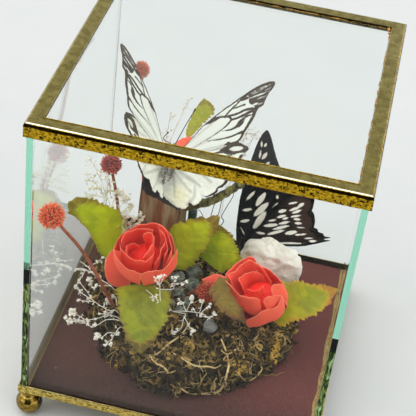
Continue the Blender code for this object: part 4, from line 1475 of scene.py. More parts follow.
@dataclass
class MossMound:
    """The lumpy mat, its fronds, straw, lichen and the roots that show, whose
    lines are given as points of the 416 by 416 picture."""

    centre: Flat = (-2.0, -1.0)
    radius: float = 44.0
    height: float = 22.0
    bulge: float = 7.0
    sunk: float = 0.9
    around: int = 260
    rings: int = 90
    frond_count: int = 1100
    curl_count: int = 1150
    straw_count: int = 130
    valley_x: float = 6.0
    valley_reach: float = 9.0
    valley_depth: float = 3.0
    lean: float = 0.35
    root_lines: dict[str, Sequence[Flat]] = field(default_factory=lambda: {
        "pale_root": ((222, 338), (226, 350), (228, 360), (226, 371), (223, 382), (218, 389),
                      (207, 391), (194, 389), (183, 386), (178, 381)),
        "cross_root": ((172, 350), (184, 356), (196, 364), (208, 366), (218, 364), (227, 355)),
        "left_root": ((190, 322), (180, 334), (168, 344), (158, 352), (146, 358)),
        "curl_root": ((150, 352), (156, 362), (164, 366), (170, 372), (176, 370)),
        "right_root": ((262, 332), (252, 340), (240, 344), (230, 352), (222, 350)),
        "low_root": ((236, 372), (246, 378), (256, 376), (262, 368), (258, 360)),
    })
    lichen_clumps: dict[str, tuple[int, Sequence[Flat]]] = field(default_factory=lambda: {
        "right": (150, ((277, 334), (276, 342), (274, 350), (272, 357))),
        "front": (80, ((238, 362), (242, 366), (236, 370))),
        "front_right": (40, ((270, 372), (274, 378), (272, 384))),
        "far_left": (30, ((104, 258), (98, 262), (94, 268))),
        "left": (30, ((118, 362), (121, 365))),
    })

    def reach(self, angle: np.ndarray) -> np.ndarray:
        """Radius of the mound's foot in a direction."""
        fuller = np.maximum(0.0, np.cos(angle - math.radians(150.0))) ** 2
        return self.radius + self.bulge * fuller + 1.8 * np.sin(3.0 * angle + 0.6)

    def ground(self) -> Shape:
        """The mat: a lumpy dome with a ragged foot.

        Returns:
            The mat.
        """
        shape = Shape()
        foot = BOARD_Z + 0.3
        points = []
        for ring in range(self.rings + 1):
            z = math.cos(math.pi / 2.0 * ring / self.rings)
            flat = math.sqrt(max(0.0, 1.0 - z * z))
            for k in range(self.around):
                angle = 2.0 * math.pi * k / self.around
                x, y = flat * math.cos(angle), flat * math.sin(angle)
                lump = noise.noise(Vector((x * 2.8, y * 2.8, z * 1.6)))
                fine = noise.noise(Vector((x, y, z)) * 6.5)
                reach = float(self.reach(np.array(angle))) * (1.0 + 0.06 * lump + 0.04 * fine)
                share = (x * self.radius - self.valley_x) / self.valley_reach
                valley = self.valley_depth * math.exp(-(share * share))
                top = (self.height * (1.0 + 0.12 * lump + 0.07 * fine) - valley) * z**0.62
                spot = Vector((self.centre[0] + x * reach, self.centre[1] + y * reach, foot + top))
                clump = noise.noise(spot * 0.28) + 0.8 * noise.noise(spot * 0.6)
                grit = noise.noise(spot * 1.6)
                out = Vector((x, y, z * 0.8)).normalized()
                spot += out * (1.3 * clump + 0.8 * grit - self.sunk)
                spot.z = max(foot, spot.z)
                points.append(tuple(spot))
                if ring == 0:
                    break
        last = 1 + (self.rings - 1) * self.around
        faces = [*fan_faces(0, self.around, 1), *ring_faces(self.rings, self.around, 1),
                 tuple(range(last + self.around - 1, last - 1, -1))]
        shape.add(np.array(points), faces)
        return shape

    def frond_shapes(self, rng: random.Random, count: int, length: float, lift: float,
                     girth: float, twigs: int) -> list[bpy.types.Mesh]:
        """Curly strands that lie over the mat, some with side twigs.

        Args:
            rng: draws them.
            count: how many are made.
            length: how long each is, in millimetres.
            lift: how high its middle stands.
            girth: its radius.
            twigs: how many side twigs it has.

        Returns:
            A mesh for each.
        """
        made = []
        for number in range(count):
            heading = 0.0
            spot = np.array((0.0, 0.0, -0.2))
            route = [spot.copy()]
            steps = 6
            for k in range(steps):
                heading += rng.uniform(-0.9, 0.9)
                rise = lift * math.sin(math.pi * (k + 0.5) / steps) * rng.uniform(0.3, 1.2)
                spot = spot + np.array((math.cos(heading), math.sin(heading), 0.0)) * length / steps
                spot[2] = rise
                route.append(spot.copy())
            line = np.array(route)
            branches = []
            for _ in range(twigs):
                at = rng.randrange(1, steps)
                way = unit(stray(rng, (-1, 1), (-1, 1), (0.0, 0.8)))
                reach = length * rng.uniform(0.16, 0.3)
                branches.append((np.array([line[at], line[at] + way * reach * 0.55,
                                           line[at] + way * reach + (0.0, 0.0, 0.2)]), girth * 0.7))
            radii = girth * np.array((0.7, 1.0, 1.0, 0.95, 0.85, 0.7, 0.35))
            made.append(sprig(f"strand_{number}", line, radii, 3, branches))
        return made

    def curl_shapes(self, rng: random.Random, count: int) -> list[bpy.types.Mesh]:
        """Dried scraps: short ribbons that curl up from the mat.

        Args:
            rng: draws them.
            count: how many are made.

        Returns:
            A mesh for each.
        """
        made = []
        for number in range(count):
            turn, heading = rng.uniform(1.6, 4.2), rng.uniform(-0.4, 0.4)
            spot, lift = np.array((0.0, 0.0, -0.3)), rng.uniform(0.2, 0.7)
            route = [spot.copy()]
            length = rng.uniform(4.0, 7.5)
            for k in range(6):
                way = (math.cos(heading), math.sin(heading), lift * math.cos(k * 0.7))
                spot = spot + unit(way) * length / 6.0
                heading += turn / 6.0
                route.append(spot.copy())
            wide = rng.uniform(0.5, 1.1) * np.array((0.5, 0.9, 1.0, 0.9, 1.0, 0.7, 0.3))
            shape = Shape()
            shape.tube(route, wide, 5, rng.uniform(0.25, 0.5))
            made.append(shape.small(f"curl_{number}"))
        return made

    def seen(self, tree: BVHTree, across: float, down: float, lift: float) -> np.ndarray | None:
        """The place on the mat that a point of the picture shows, in millimetres.

        Args:
            tree: the mat's search tree, in metres.
            across, down: the point, from the left and from the top.
            lift: how far over the mat the place is.

        Returns:
            The place, or None where the point shows no mat.
        """
        start = Vector(in_world(np.array(VIEW.place)))
        hit = tree.ray_cast(start, VIEW.ray(across, down))
        if hit[0] is None:
            return None
        return np.array(hit[0] + hit[1] * lift * MM) / MM - (0.0, 0.0, DATUM)

    def roots(self, tree: BVHTree) -> None:
        """The pale roots that wander over the front of the mat.

        Args:
            tree: the mat's search tree, in metres.
        """
        shape = Shape("tint")
        rng = random.Random(31)
        for number, line in enumerate(self.root_lines.values()):
            spots = [self.seen(tree, u, v, 1.1) for u, v in line]
            spots = [spot for spot in spots if spot is not None]
            route = smooth_route(spots, 4)
            girth = 0.55 if number == 0 else 0.4
            route = route + [stray(rng, *[(-0.12, 0.12)] * 3) for _ in route]
            taper = 0.45 + 0.55 * np.sin(np.linspace(0.25, 2.9, len(route)))
            shape.tube(route, girth * taper, 6, tint=0.8)
            for _ in range(4):
                at = route[rng.randrange(2, len(route) - 2)]
                way = unit(stray(rng, (-1, 1), (-1, 0.2), (-0.2, 0.7)))
                shape.tube([at, at + way * 1.6, at + way * 2.6 + (0.5, 0.0, 0.4)],
                           [girth * 0.6, girth * 0.45, girth * 0.25], 4, tint=0.6)
        shape.piece("moss_roots", Finish.STRAW, "dried_moss")

    def lichen(self, tree: BVHTree) -> None:
        """Ochre lichen: feathery clumps on the mat.

        Args:
            tree: the mat's search tree, in metres.
        """
        shape = Shape("tint")
        rng = random.Random(12)
        for count, line in self.lichen_clumps.values():
            for _ in range(count):
                u, v = rng.choice(line)
                spot = self.seen(tree, u + rng.uniform(-3.0, 3.0), v + rng.uniform(-4.0, 4.0), 0.8)
                if spot is None:
                    continue
                way = unit(stray(rng, (-1, 1), (-1.2, 0.2), (-0.4, 1.0)))
                mid = spot + way * 0.9
                end = mid + unit(way + (rng.uniform(-0.6, 0.6), 0.0, rng.uniform(-0.6, 0.6))) * 0.9
                shape.tube([spot, mid, end], [0.5, 0.42, 0.16], 4, 0.6, tint=rng.uniform(0.2, 1.0))
        shape.piece("moss_lichen", Finish.LICHEN, "dried_moss")

    def build(self) -> BVHTree:
        """Makes the mound.

        Returns:
            A search tree of the mat's surface, in metres.
        """
        ground = self.ground()
        mat = ground.piece("moss_mat", Finish.MOSS, "dried_moss", ("moss_mound",))
        tree = BVHTree.FromPolygons([v.co for v in mat.data.vertices],
                                    [p.vertices[:] for p in mat.data.polygons])
        area = sum(face.area for face in mat.data.polygons if face.normal.z > -0.5)
        rng = random.Random(5)
        scatter = ScatterTree("moss_scatter")
        fronds = self.frond_shapes(rng, 12, 5.6, 1.5, 0.42, 3)
        curls = self.curl_shapes(rng, 12)
        straws = self.frond_shapes(rng, 8, 12.0, 2.0, 0.24, 1)
        surface = mat.data.copy()
        for name, shapes, count, finish, seed, low, high in (
            ("moss_fronds", fronds, self.frond_count, Finish.FRONDS, 21, 0.55, 1.1),
            ("moss_fronds_over", fronds, self.frond_count, Finish.FRONDS, 25, 0.55, 1.1),
            ("moss_curls", curls, self.curl_count, Finish.CURLS, 23, 0.5, 1.15),
            ("moss_straws", straws, self.straw_count, Finish.STRAW, 22, 0.5, 1.0),
        ):
            mesh = scatter.scatter(name, surface, shapes, finish, Density=count / area, Seed=seed,
                                   Smallest=low, Largest=high, Lean=self.lean)
            set_out(trimmed(mesh))
        self.roots(tree)
        self.lichen(tree)
        return tree


def trimmed(mesh: bpy.types.Mesh) -> bpy.types.Mesh:
    """Keeps scattered strands above the board.

    Args:
        mesh: the strands, in the frame.

    Returns:
        The same mesh.
    """
    places = np.empty(len(mesh.vertices) * 3, dtype=np.float32)
    mesh.vertices.foreach_get("co", places)
    places = places.reshape(-1, 3)
    low = (BOARD_Z + DATUM + 0.15) * MM
    places[:, 2] = np.maximum(places[:, 2], low)
    mesh.vertices.foreach_set("co", places.reshape(-1))
    mesh.update()
    return mesh


@dataclass
class Stone:
    """A stone: a clipped ball with lumps and grit."""

    name: str
    centre: Point
    radii: Point
    finish: Finish
    slot: str
    seed: int
    rough: float = 0.16
    detail: int = 4
    cuts: int = 0
    loose: bool = False
    flat_at: float = 0.84

    def build(self) -> None:
        """Makes the stone, in the place of its node unless it is loose."""
        offset = Vector((3.1, 1.7, 2.3)) * self.seed
        rng = random.Random(self.seed)
        planes = [(Vector([rng.gauss(0, 1) for _ in range(3)]).normalized(), rng.uniform(0.62, 0.86))
                  for _ in range(self.cuts)]
        places, faces = ball(self.detail)
        points = []
        for place in places:
            for way, reach in planes:
                place -= way * max(0.0, place.dot(way) - reach)
            swell = 1.0 + sum(share * self.rough * noise.noise(place * scale + offset)
                              for share, scale in ((1.0, 1.6), (0.5, 4.0), (0.16, 11.0), (0.07, 26.0)))
            clipped = [max(-self.flat_at, min(self.flat_at, part)) for part in place]
            points.append([self.centre[i] + clipped[i] * self.radii[i] * swell for i in range(3)])
        shape = Shape()
        shape.add(np.array(points), faces)
        shape.piece(f"{self.name}_surface", self.finish, self.slot, () if self.loose else (self.name,))


def build_stones() -> None:
    """The white stone, the gravel with its small loose pieces, and the pale pebble."""
    Stone("white_stone", (26.8, 18.5, 39.5), (15.5, 10.0, 13.5), Finish.WHITE_STONE, "white_stone", 1,
          0.2, 5, 9).build()
    for number, centre, radii in ((1, (-5.6, 6.6, 36.0), (4.6, 4.1, 4.0)),
                                  (2, (-3.4, -2.4, 36.0), (4.2, 4.4, 3.8)),
                                  (3, (-11.4, 0.4, 36.0), (3.8, 3.6, 3.4))):
        Stone(f"gravel_stone_{number}", centre, radii, Finish.GRAVEL, "gravel", number + 1,
              cuts=14).build()
    Stone("pale_pebble", (8.8, -21.8, 32.8), (3.7, 3.1, 2.8), Finish.PEBBLE, "pale_pebble", 5,
          cuts=6).build()
    for number, centre, radii in ((1, (-8.4, -9.4, 36.6), (3.4, 2.9, 2.5)),
                                  (2, (-4.0, -12.2, 35.4), (2.9, 2.6, 2.2)),
                                  (3, (-5.6, -17.0, 34.0), (2.7, 2.2, 2.0)),
                                  (4, (-10.4, -14.8, 34.6), (2.4, 2.2, 2.0)),
                                  (5, (-13.0, -10.4, 36.4), (2.3, 2.2, 2.0))):
        Stone(f"loose_gravel_{number}", centre, radii, Finish.GRAVEL, "gravel", number + 5, cuts=12,
              loose=True).build()


@dataclass
class Driftwood:
    """The post, the bark slab beside it and the taped stalk under the slab."""

    centre: Flat = (-23.9, 14.0)
    radius: float = 10.2
    foot_z: float = 29.0
    top_left: float = 76.0
    top_right: float = 64.6
    around: int = 150
    rows: int = 70
    slab_line: tuple[Point, ...] = ((-13.6, 15.0, 65.2), (-4.4, 15.4, 69.4), (2.6, 16.0, 75.4),
                                    (9.6, 16.6, 83.0))
    stalk_foot: Flat = (-9.9, 16.4)
    stalk_line: tuple[Point, ...] = ((-10.3, 16.3, 48.0), (-10.4, 16.0, 62.6))

    def post(self) -> None:
        """The post, with weathered grooves and a broken, charred top."""
        shape = Shape("char")
        middle = (self.top_left + self.top_right) / 2.0
        slope = (self.top_right - self.top_left) / 2.0
        points, chars = [], []
        caps = 10
        for row in range(self.rows + caps + 1):
            t = min(1.0, row / self.rows)
            inset = 1.0 - max(0, row - self.rows) / caps
            for k in range(self.around):
                angle = 2.0 * math.pi * k / self.around
                x, y = math.cos(angle), math.sin(angle)
                ridge = 0.05 * math.sin(5.0 * angle + 1.0) + 0.035 * math.sin(9.0 * angle + t)
                ridge += 0.05 * noise.noise(Vector((x, y, t * 2.0)) * 2.0)
                groove = noise.noise(Vector((x * 9.0, y * 9.0, t * 3.0)))
                split = noise.noise(Vector((x * 22.0, y * 22.0, t * 5.0)))
                radius = self.radius * (1.0 + ridge + 0.022 * groove + 0.012 * split)
                radius *= (1.04 - 0.06 * t) * inset
                broken = 0.8 * math.sin(4.0 * angle) * inset
                broken += 0.7 * noise.noise(Vector((x * inset * 6.0, y * inset * 6.0, 3.0)))
                top = middle + slope * x * inset + broken
                top -= 1.2 * (1.0 - inset) + 3.6 * min(0.0, y) * inset
                top = min(top, self.top_left)
                points.append((self.centre[0] + x * radius, self.centre[1] + y * radius,
                               self.foot_z + (top - self.foot_z) * t))
                below = (1.0 - t) * (top - self.foot_z)
                leftness = 0.55 - 0.45 * x
                rim = max(0.0, 1.0 - below / (5.6 * leftness**4 + 0.6))
                chars.append(rim * (0.6 + 0.4 * leftness) * min(1.0, inset * 6.0 * leftness))
        n = self.around
        used = (self.rows + caps) * n
        faces = [*ring_faces(self.rows + caps, n), tuple(range(n - 1, -1, -1)),
                 tuple(range(used - n, used))]
        shape.add(np.array(points[:used]), faces, char=np.array(chars[:used]))
        shape.piece("driftwood_post_wood", Finish.WOOD, "driftwood", ("driftwood_post",))

    def slab(self) -> None:
        """The bark slab that the butterfly's wing rests on."""
        route = smooth_route(self.slab_line, 12)
        shape = Shape()
        radii = np.linspace(2.3, 2.0, len(route))
        radii = radii * (1.0 + 0.14 * lumps(route, 0.45, 3.0))
        radii[-1] *= 0.4
        route[:, 2] += 0.7 * lumps(route, 0.35)
        route[:, 1] += 1.1 * lumps(route, 0.35)
        shape.tube(route, radii, 20, 0.85)
        points = shape.points[0]
        shape.points[0] = points + 0.16 * np.column_stack([lumps(points, 0.9, s) for s in (1, 2, 3)])
        shape.piece("bark_perch_bark", Finish.BARK, "bark", ("bark_perch",))

    def stalk(self, foot_z: float) -> None:
        """The stalk, wound with green tape in a spiral.

        Args:
            foot_z: the height of its foot.
        """
        route = smooth_route([(*self.stalk_foot, foot_z), *self.stalk_line], 40)
        turns = np.arange(len(route))
        radii = 1.9 + 0.14 * (turns * 0.16 % 1.0)
        shape = Shape()
        shape.tube(route, radii, 24)
        shape.piece("perch_stalk_tape", Finish.TAPE, "green_tape", ("perch_stalk",))

    def build(self, foot: Callable[[float, float], float]) -> None:
        """Makes the three wooden pieces.

        Args:
            foot: gives the mat's height, in millimetres, at a place.
        """
        self.post()
        self.slab()
        self.stalk(foot(*self.stalk_foot) - SUNK)


# A distance on a wing, in millimetres, beyond which nothing is near
FAR = 9.0


def line_gap(points: np.ndarray, route: Sequence[Flat]) -> np.ndarray:
    """Distance from each flat point to a line of straight spans.

    Args:
        points: the flat points.
        route: the line's points, in order.

    Returns:
        A distance for each point.
    """
    best = np.full(len(points), 1e9)
    line = np.asarray(route, dtype=float)
    for a, b in zip(line, line[1:]):
        span = b - a
        share = np.clip(((points - a) @ span) / max(1e-9, float(span @ span)), 0.0, 1.0)
        best = np.minimum(best, np.linalg.norm(points - a - share[:, None] * span, axis=1))
    return best


def line_share(points: np.ndarray, route: Sequence[Flat]) -> np.ndarray:
    """How far along a line's ends each flat point lies, 0 to 1.

    Args:
        points: the flat points.
        route: the line's points, in order.

    Returns:
        A share for each point.
    """
    line = np.asarray(route, dtype=float)
    span = line[-1] - line[0]
    return np.clip(((points - line[0]) @ span) / max(1e-9, float(span @ span)), 0.0, 1.0)


@dataclass(frozen=True)
class Vein:
    """A line on a wing, with its width at both ends in millimetres."""

    route: tuple[Flat, ...]
    start: float
    end: float

    def gap(self, points: np.ndarray) -> np.ndarray:
        """Signed distance: below 0 inside the line."""
        wide = self.start + (self.end - self.start) * line_share(points, self.route)
        return line_gap(points, smooth_route([(*p, 0.0) for p in self.route], 5)[:, :2]) - wide / 2.0


@dataclass(frozen=True)
class Spot:
    """An oval spot on a wing, slightly pointed, round two points on its length."""

    start: Flat
    end: Flat
    width: float

    def gap(self, points: np.ndarray) -> np.ndarray:
        """Signed distance: below 0 inside the spot.

        Args:
            points: flat points on the wing.

        Returns:
            A distance for each point, in millimetres.
        """
        first, last = np.array(self.start), np.array(self.end)
        run = last - first
        length = float(np.linalg.norm(run))
        way = run / max(1e-6, length)
        off = points - (first + last) / 2.0
        half = self.width / 2.0
        along = np.abs(off @ way) / (length / 2.0 + half)
        over = np.abs(off @ np.array((-way[1], way[0]))) / half
        return ((along**1.8 + over**1.8) ** (1.0 / 1.8) - 1.0) * half


def spots(rows: Sequence[tuple[float, ...]]) -> tuple[Spot, ...]:
    """Spots from rows of both ends and a width."""
    return tuple(Spot((a, b), (c, d), width) for a, b, c, d, width in rows)


def nearest(features: Iterable["Vein | Spot"], points: np.ndarray) -> np.ndarray:
    """Signed distance to the nearest of some features.

    Args:
        features: veins, spots or both.
        points: flat points on the wing.

    Returns:
        A distance for each point, at most FAR.
    """
    best = np.full(len(points), FAR)
    for feature in features:
        best = np.minimum(best, feature.gap(points))
    return best


@dataclass(frozen=True)
class WingPlan:
    """A wing's outline and the marks on it, in its own plane: along, across."""

    outline: tuple[Flat, ...]
    marks: Callable[[np.ndarray, np.ndarray], dict[str, np.ndarray]]
    ribs: tuple[tuple[Flat, ...], ...]
    bow: float = 0.8
    ragged: float = 0.18
    crumple: float = 0.16

    def sheet(self, grid: float = 0.38) -> tuple[np.ndarray, list[tuple[int, ...]]]:
        """The outline filled with triangles of about a size in millimetres.

        Args:
            grid: the triangles' size.

        Returns:
            The flat points, those on the rim first, and the triangles.
        """
        rim = closed_route(self.outline, 10)
        gaps = np.linalg.norm(np.roll(rim, -1, axis=0) - rim, axis=1)
        steps = np.concatenate([[0.0], np.cumsum(gaps)])
        count = int(steps[-1] / grid)
        spots = np.linspace(0.0, steps[-1], count, endpoint=False)
        loop = np.vstack([rim, rim[:1]])
        rim = np.column_stack([np.interp(spots, steps, loop[:, k]) for k in (0, 1)])
        out = np.roll(rim, -1, axis=0) - np.roll(rim, 1, axis=0)
        out = np.column_stack([out[:, 1], -out[:, 0]]) / (np.linalg.norm(out, axis=1)[:, None] + 1e-9)
        wander = np.array([noise.noise(Vector((x * 0.9, y * 0.9, 4.0))) for x, y in rim])
        rim = rim - out * (wander[:, None] * self.ragged)
        low, high = rim.min(axis=0), rim.max(axis=0)
        pitch = grid * 0.866
        rows = int((high[1] - low[1]) / pitch) + 2
        columns = int((high[0] - low[0]) / grid) + 2
        inner = np.array([(low[0] + (i + 0.5 * (j % 2)) * grid, low[1] + j * pitch)
                          for j in range(rows) for i in range(columns)])
        inside = self.within(inner, rim) & (line_gap(inner, np.vstack([rim, rim[:1]])) > grid * 0.55)
        points = np.vstack([rim, inner[inside]])
        edges = [(k, (k + 1) % count) for k in range(count)]
        made = delaunay_2d_cdt([Vector(p) for p in points], edges, [list(range(count))], 1, 1e-5)
        return np.array([tuple(p) for p in made[0]]), [tuple(face) for face in made[2]]

    def within(self, points: np.ndarray, rim: np.ndarray) -> np.ndarray:
        """Which points lie inside a closed outline.

        Args:
            points: the flat points.
            rim: the outline's points, in order.

        Returns:
            Whether each one is inside.
        """
        inside = np.zeros(len(points), dtype=bool)
        x, y = points[:, 0], points[:, 1]
        for (x1, y1), (x2, y2) in zip(rim, np.roll(rim, -1, axis=0)):
            cross = (y1 > y) != (y2 > y)
            with np.errstate(divide="ignore", invalid="ignore"):
                at = (x2 - x1) * (y - y1) / (y2 - y1) + x1
            inside ^= cross & (x < at)
        return inside

    def lift(self, points: np.ndarray) -> np.ndarray:
        """Height of the wing's sheet over its plane: a bow, and ribs along the veins.

        Args:
            points: flat points on the wing.

        Returns:
            A height for each point, in millimetres.
        """
        x, y = points[:, 0], points[:, 1]
        size = np.ptp(x)
        bow = self.bow * np.sin(np.clip((x - x.min()) / size, 0.0, 1.0) * math.pi)
        near = np.minimum.reduce([line_gap(points, rib) for rib in self.ribs])
        near = np.minimum(near, FAR)
        flat = np.column_stack([x, y, 0.0 * x])
        waves = self.crumple * (lumps(flat, 0.22, 2.0) + 0.35 * lumps(flat, 0.7, 5.0))
        return bow * 0.5 + 0.16 * np.exp(-((near / 0.45) ** 2)) + waves

    def add_to(self, shape: Shape, root: Sequence[float], along: Sequence[float],
               across: Sequence[float], thickness: float, over: float = 0.0,
               stretch: float = 1.0) -> None:
        """Adds the wing to a shape as a thin closed sheet.

        Args:
            shape: where the points go, with the marks' names as its keys.
            root: the wing's root, in millimetres.
            along: the direction of the wing's length.
            across: the direction towards its hind edge.
            thickness: the sheet's thickness, in millimetres.
            over: how far the whole sheet is raised over its plane.
            stretch: scale of the wing's length.
        """
        flat, faces = self.sheet()
        first = unit(along)
        second = np.asarray(across, dtype=float)
        second = unit(second - first * second.dot(first))
        third = np.cross(first, second)
        rise = self.lift(flat) + over
        middle = np.array(root) + np.outer(flat[:, 0] * stretch, first) + np.outer(flat[:, 1], second)
        edge = line_gap(flat, np.vstack([closed_route(self.outline, 4), self.outline[:1]]))
        half = thickness * np.clip(0.35 + edge / 2.0, 0.35, 1.0) / 2.0
        upper = middle + np.outer(rise + half, third)
        lower = middle + np.outer(rise - half, third)
        total = len(flat)
        edges = dict.fromkeys((a, b) for face in faces for a, b in zip(face, face[1:] + face[:1]))
        sides = [(total + a, total + b, b, a) for a, b in edges if (b, a) not in edges]
        turned = [tuple(total + k for k in reversed(face)) for face in faces]
        numbers = {key: np.tile(value, 2) for key, value in self.marks(flat, edge).items()}
        shape.add(np.vstack([upper, lower]), [*faces, *turned, *sides], **numbers)


# What each point of a wing carries
MARKS = ("marks", "faint", "warm")

WHITE_VEINS = (
    Vein(((18.6, -3.0), (20.7, -3.0), (23.6, -2.7), (26.9, -0.9)), 0.5, 0.8),
    Vein(((26.9, -0.9), (28.7, 0.4), (29.0, 2.2)), 1.0, 1.0),
    Vein(((29.0, 2.2), (25.9, 3.0), (22.7, 3.3)), 0.9, 0.45),
    Vein(((22.7, 3.3), (16.7, 3.1), (8.9, 2.4)), 0.4, 0.2),
    Vein(((27.6, -0.9), (31.5, -1.7), (37.0, -2.7), (40.9, -2.8)), 0.7, 0.9),
    Vein(((31.5, -1.7), (34.3, -0.8), (37.4, 0.2)), 0.5, 0.8),
    Vein(((28.0, -0.3), (32.1, 1.4), (36.1, 2.3), (39.2, 3.7)), 0.9, 1.1),
    Vein(((29.0, 2.2), (31.7, 3.2), (36.4, 4.1), (40.0, 4.8)), 1.0, 1.2),
    Vein(((22.9, 4.0), (26.4, 5.7), (29.7, 6.2)), 0.3, 1.3),
    Vein(((14.9, 3.7), (20.0, 6.3), (24.7, 8.3), (28.0, 9.2), (31.0, 9.9)), 0.2, 1.2),
)
WHITE_FAINT = (
    Vein(((0.0, 1.2), (8.9, 2.4), (16.7, 3.1), (22.7, 3.3)), 0.3, 0.4),
    Vein(((2.0, 1.6), (14.9, 3.7), (20.0, 6.3)), 0.3, 0.4),
    Vein(((3.0, 2.6), (14.0, 7.0), (24.0, 11.2)), 0.4, 0.4),
    Vein(((3.0, -0.4), (14.0, -1.2), (24.0, -1.8)), 0.4, 0.3),
)
WHITE_DARK = spots((
    (18.8, -3.0, 25.8, -1.9, 1.5), (29.7, 6.2, 33.2, 5.3, 2.3), (34.6, 4.9, 37.6, 6.4, 1.4),
    (37.0, -2.6, 40.0, -1.6, 1.6),
))
WHITE_PALE = spots((
    (45.6, -2.0, 49.6, -0.9, 0.3), (40.2, -0.9, 46.6, 0.9, 0.5), (40.3, 2.6, 42.4, 3.3, 0.8),
    (41.8, -2.4, 44.6, -1.7, 0.3), (47.8, 0.5, 50.4, 0.9, 0.35), (43.2, 1.6, 46.2, 2.3, 0.4),
    (33.8, 5.9, 36.6, 6.2, 1.1), (28.5, 7.7, 32.3, 8.1, 1.2), (24.8, 9.3, 28.3, 10.2, 1.2),
    (32.6, -2.4, 36.2, -3.0, 0.5), (44.0, 0.6, 48.6, 1.5, 0.3), (47.0, -1.0, 51.4, -0.2, 0.3),
    (42.4, 4.0, 44.2, 4.3, 0.4), (45.0, 2.5, 47.2, 2.6, 0.3), (42.6, -1.4, 46.0, -0.7, 0.3),
))
# Fold lines of the hindwings: the sheet is raised along them, and they are painted grey as painted shade
WHITE_HIND_FOLDS = (
    Vein(((-1.0, 2.0), (10.0, 5.5), (20.0, 10.4)), 0.4, 0.6),
    Vein(((0.0, 3.0), (12.0, 9.5), (21.0, 16.4)), 0.6, 0.7),
    Vein(((0.0, 4.0), (10.0, 11.5), (16.0, 18.8)), 0.5, 1.2),
    Vein(((0.0, 5.0), (6.0, 12.0), (8.2, 18.1)), 0.8, 1.0),
    Vein(((-2.0, 4.0), (1.0, 11.0), (3.2, 16.6)), 2.2, 0.6),
    Vein(((-3.0, 5.0), (-2.2, 12.0), (-1.4, 17.0)), 1.5, 0.5),
    Vein(((-4.0, 6.0), (-6.6, 10.4), (-9.0, 14.7)), 1.0, 0.4),
    Vein(((1.6, 15.0), (-1.6, 19.4), (-5.6, 20.4)), 0.4, 1.4),
)


def rim_mark(edge: np.ndarray, where: np.ndarray, x: np.ndarray, places: Sequence[float],
             widths: Sequence[float]) -> np.ndarray:
    """A dark border along part of a wing's edge, its width given at some places along."""
    return np.where(where, edge, FAR) - np.interp(x, places, widths)


def white_forewing_marks(flat: np.ndarray, edge: np.ndarray) -> dict[str, np.ndarray]:
    """Thin costa, flaring veins, a dark grey tip with pale streaks.

    Args:
        flat: points on the wing: along, across.
        edge: each one's distance to the rim.

    Returns:
        The values of MARKS at each point, by name.
    """
    x, y = flat[:, 0], flat[:, 1]
    costa = rim_mark(edge, y < 0.6, x, (0.0, 20.0, 30.0, 45.0), (0.25, 0.45, 0.6, 1.0))
    tip = (39.2 - x + 0.5 * np.abs(y - 1.0)) * 0.7
    outer = rim_mark(edge, (y > 0.6) & (x > 22.0), x, (22.0, 27.0, 33.0, 38.0, 44.0),
                     (0.2, 0.9, 1.1, 1.5, 2.4))
    dark = np.minimum.reduce([nearest(WHITE_VEINS + WHITE_DARK, flat), costa, tip, outer])
    return {"marks": np.maximum(dark, -nearest(WHITE_PALE, flat)), "faint": nearest(WHITE_FAINT, flat),
            "warm": np.clip(0.4 - x / 26.0, 0.0, 0.35)}


def ringed(flat: np.ndarray, ring: Spot, oval: Spot) -> np.ndarray:
    """A dark ring round a pale oval."""
    return np.maximum(ring.gap(flat), -oval.gap(flat))


def white_hindwing_marks(flat: np.ndarray, edge: np.ndarray) -> dict[str, np.ndarray]:
    """A cream wing with painted grey shade along its folds, one ringed spot and a brown rim.

    Args:
        flat: points on the wing: along, across.
        edge: each one's distance to the rim.

    Returns:
        The values of MARKS at each point, by name.
    """
    x, y = flat[:, 0], flat[:, 1]
    ring = ringed(flat, Spot((19.6, 11.4), (27.6, 16.2), 4.6), Spot((22.4, 12.9), (26.0, 15.0), 2.0))
    veins = nearest((Vein(((12.0, 8.4), (19.0, 11.6)), 0.3, 1.4),
                     Vein(((15.0, 11.8), (24.6, 17.0)), 0.3, 0.8)), flat)
    outer = rim_mark(edge, (y > 9.0) & (x > 2.0), x, (2.0, 6.0, 14.0, 26.0), (0.2, 0.9, 1.3, 1.2))
    pale = nearest(spots(((21.6, 15.6, 25.8, 17.6, 0.9), (5.6, 21.6, 9.0, 21.0, 1.6),
                          (10.4, 21.4, 12.6, 21.2, 1.4))), flat)
    straw = np.exp(-(((x + 6.7) / 4.5) ** 2 + ((y - 14.8) / 5.0) ** 2))
    # faint: painted grey shade along the folds
    return {"marks": np.maximum(np.minimum.reduce([ring, veins, outer]), -pale),
            "faint": nearest(WHITE_HIND_FOLDS, flat), "warm": np.clip(0.1 + 0.8 * straw, 0.0, 0.9)}


def torn_hindwing_marks(flat: np.ndarray, edge: np.ndarray) -> dict[str, np.ndarray]:
    """The torn one: a broader brown rim, and its oval near the corner.

    Args:
        flat: points on the wing: along, across.
        edge: each one's distance to the rim.

    Returns:
        The values of MARKS at each point, by name.
    """
    x, y = flat[:, 0], flat[:, 1]
    ring = ringed(flat, Spot((14.6, 12.6), (22.8, 14.0), 4.0), Spot((17.6, 13.8), (20.4, 14.6), 1.6))
    veins = nearest((Vein(((8.0, 12.6), (14.0, 14.8)), 0.3, 1.0),
                     Vein(((2.0, 9.0), (8.0, 11.6), (15.0, 12.6)), 0.2, 1.0)), flat)
    outer = rim_mark(edge, (y > 9.0) & (x > -6.0), x, (-6.0, 2.0, 14.0, 22.0), (0.1, 0.9, 1.0, 1.4))
    # faint: painted grey shade along the folds
    return {"marks": np.minimum.reduce([ring, veins, outer]),
            "faint": nearest(WHITE_HIND_FOLDS, flat), "warm": np.full(len(x), 0.2)}


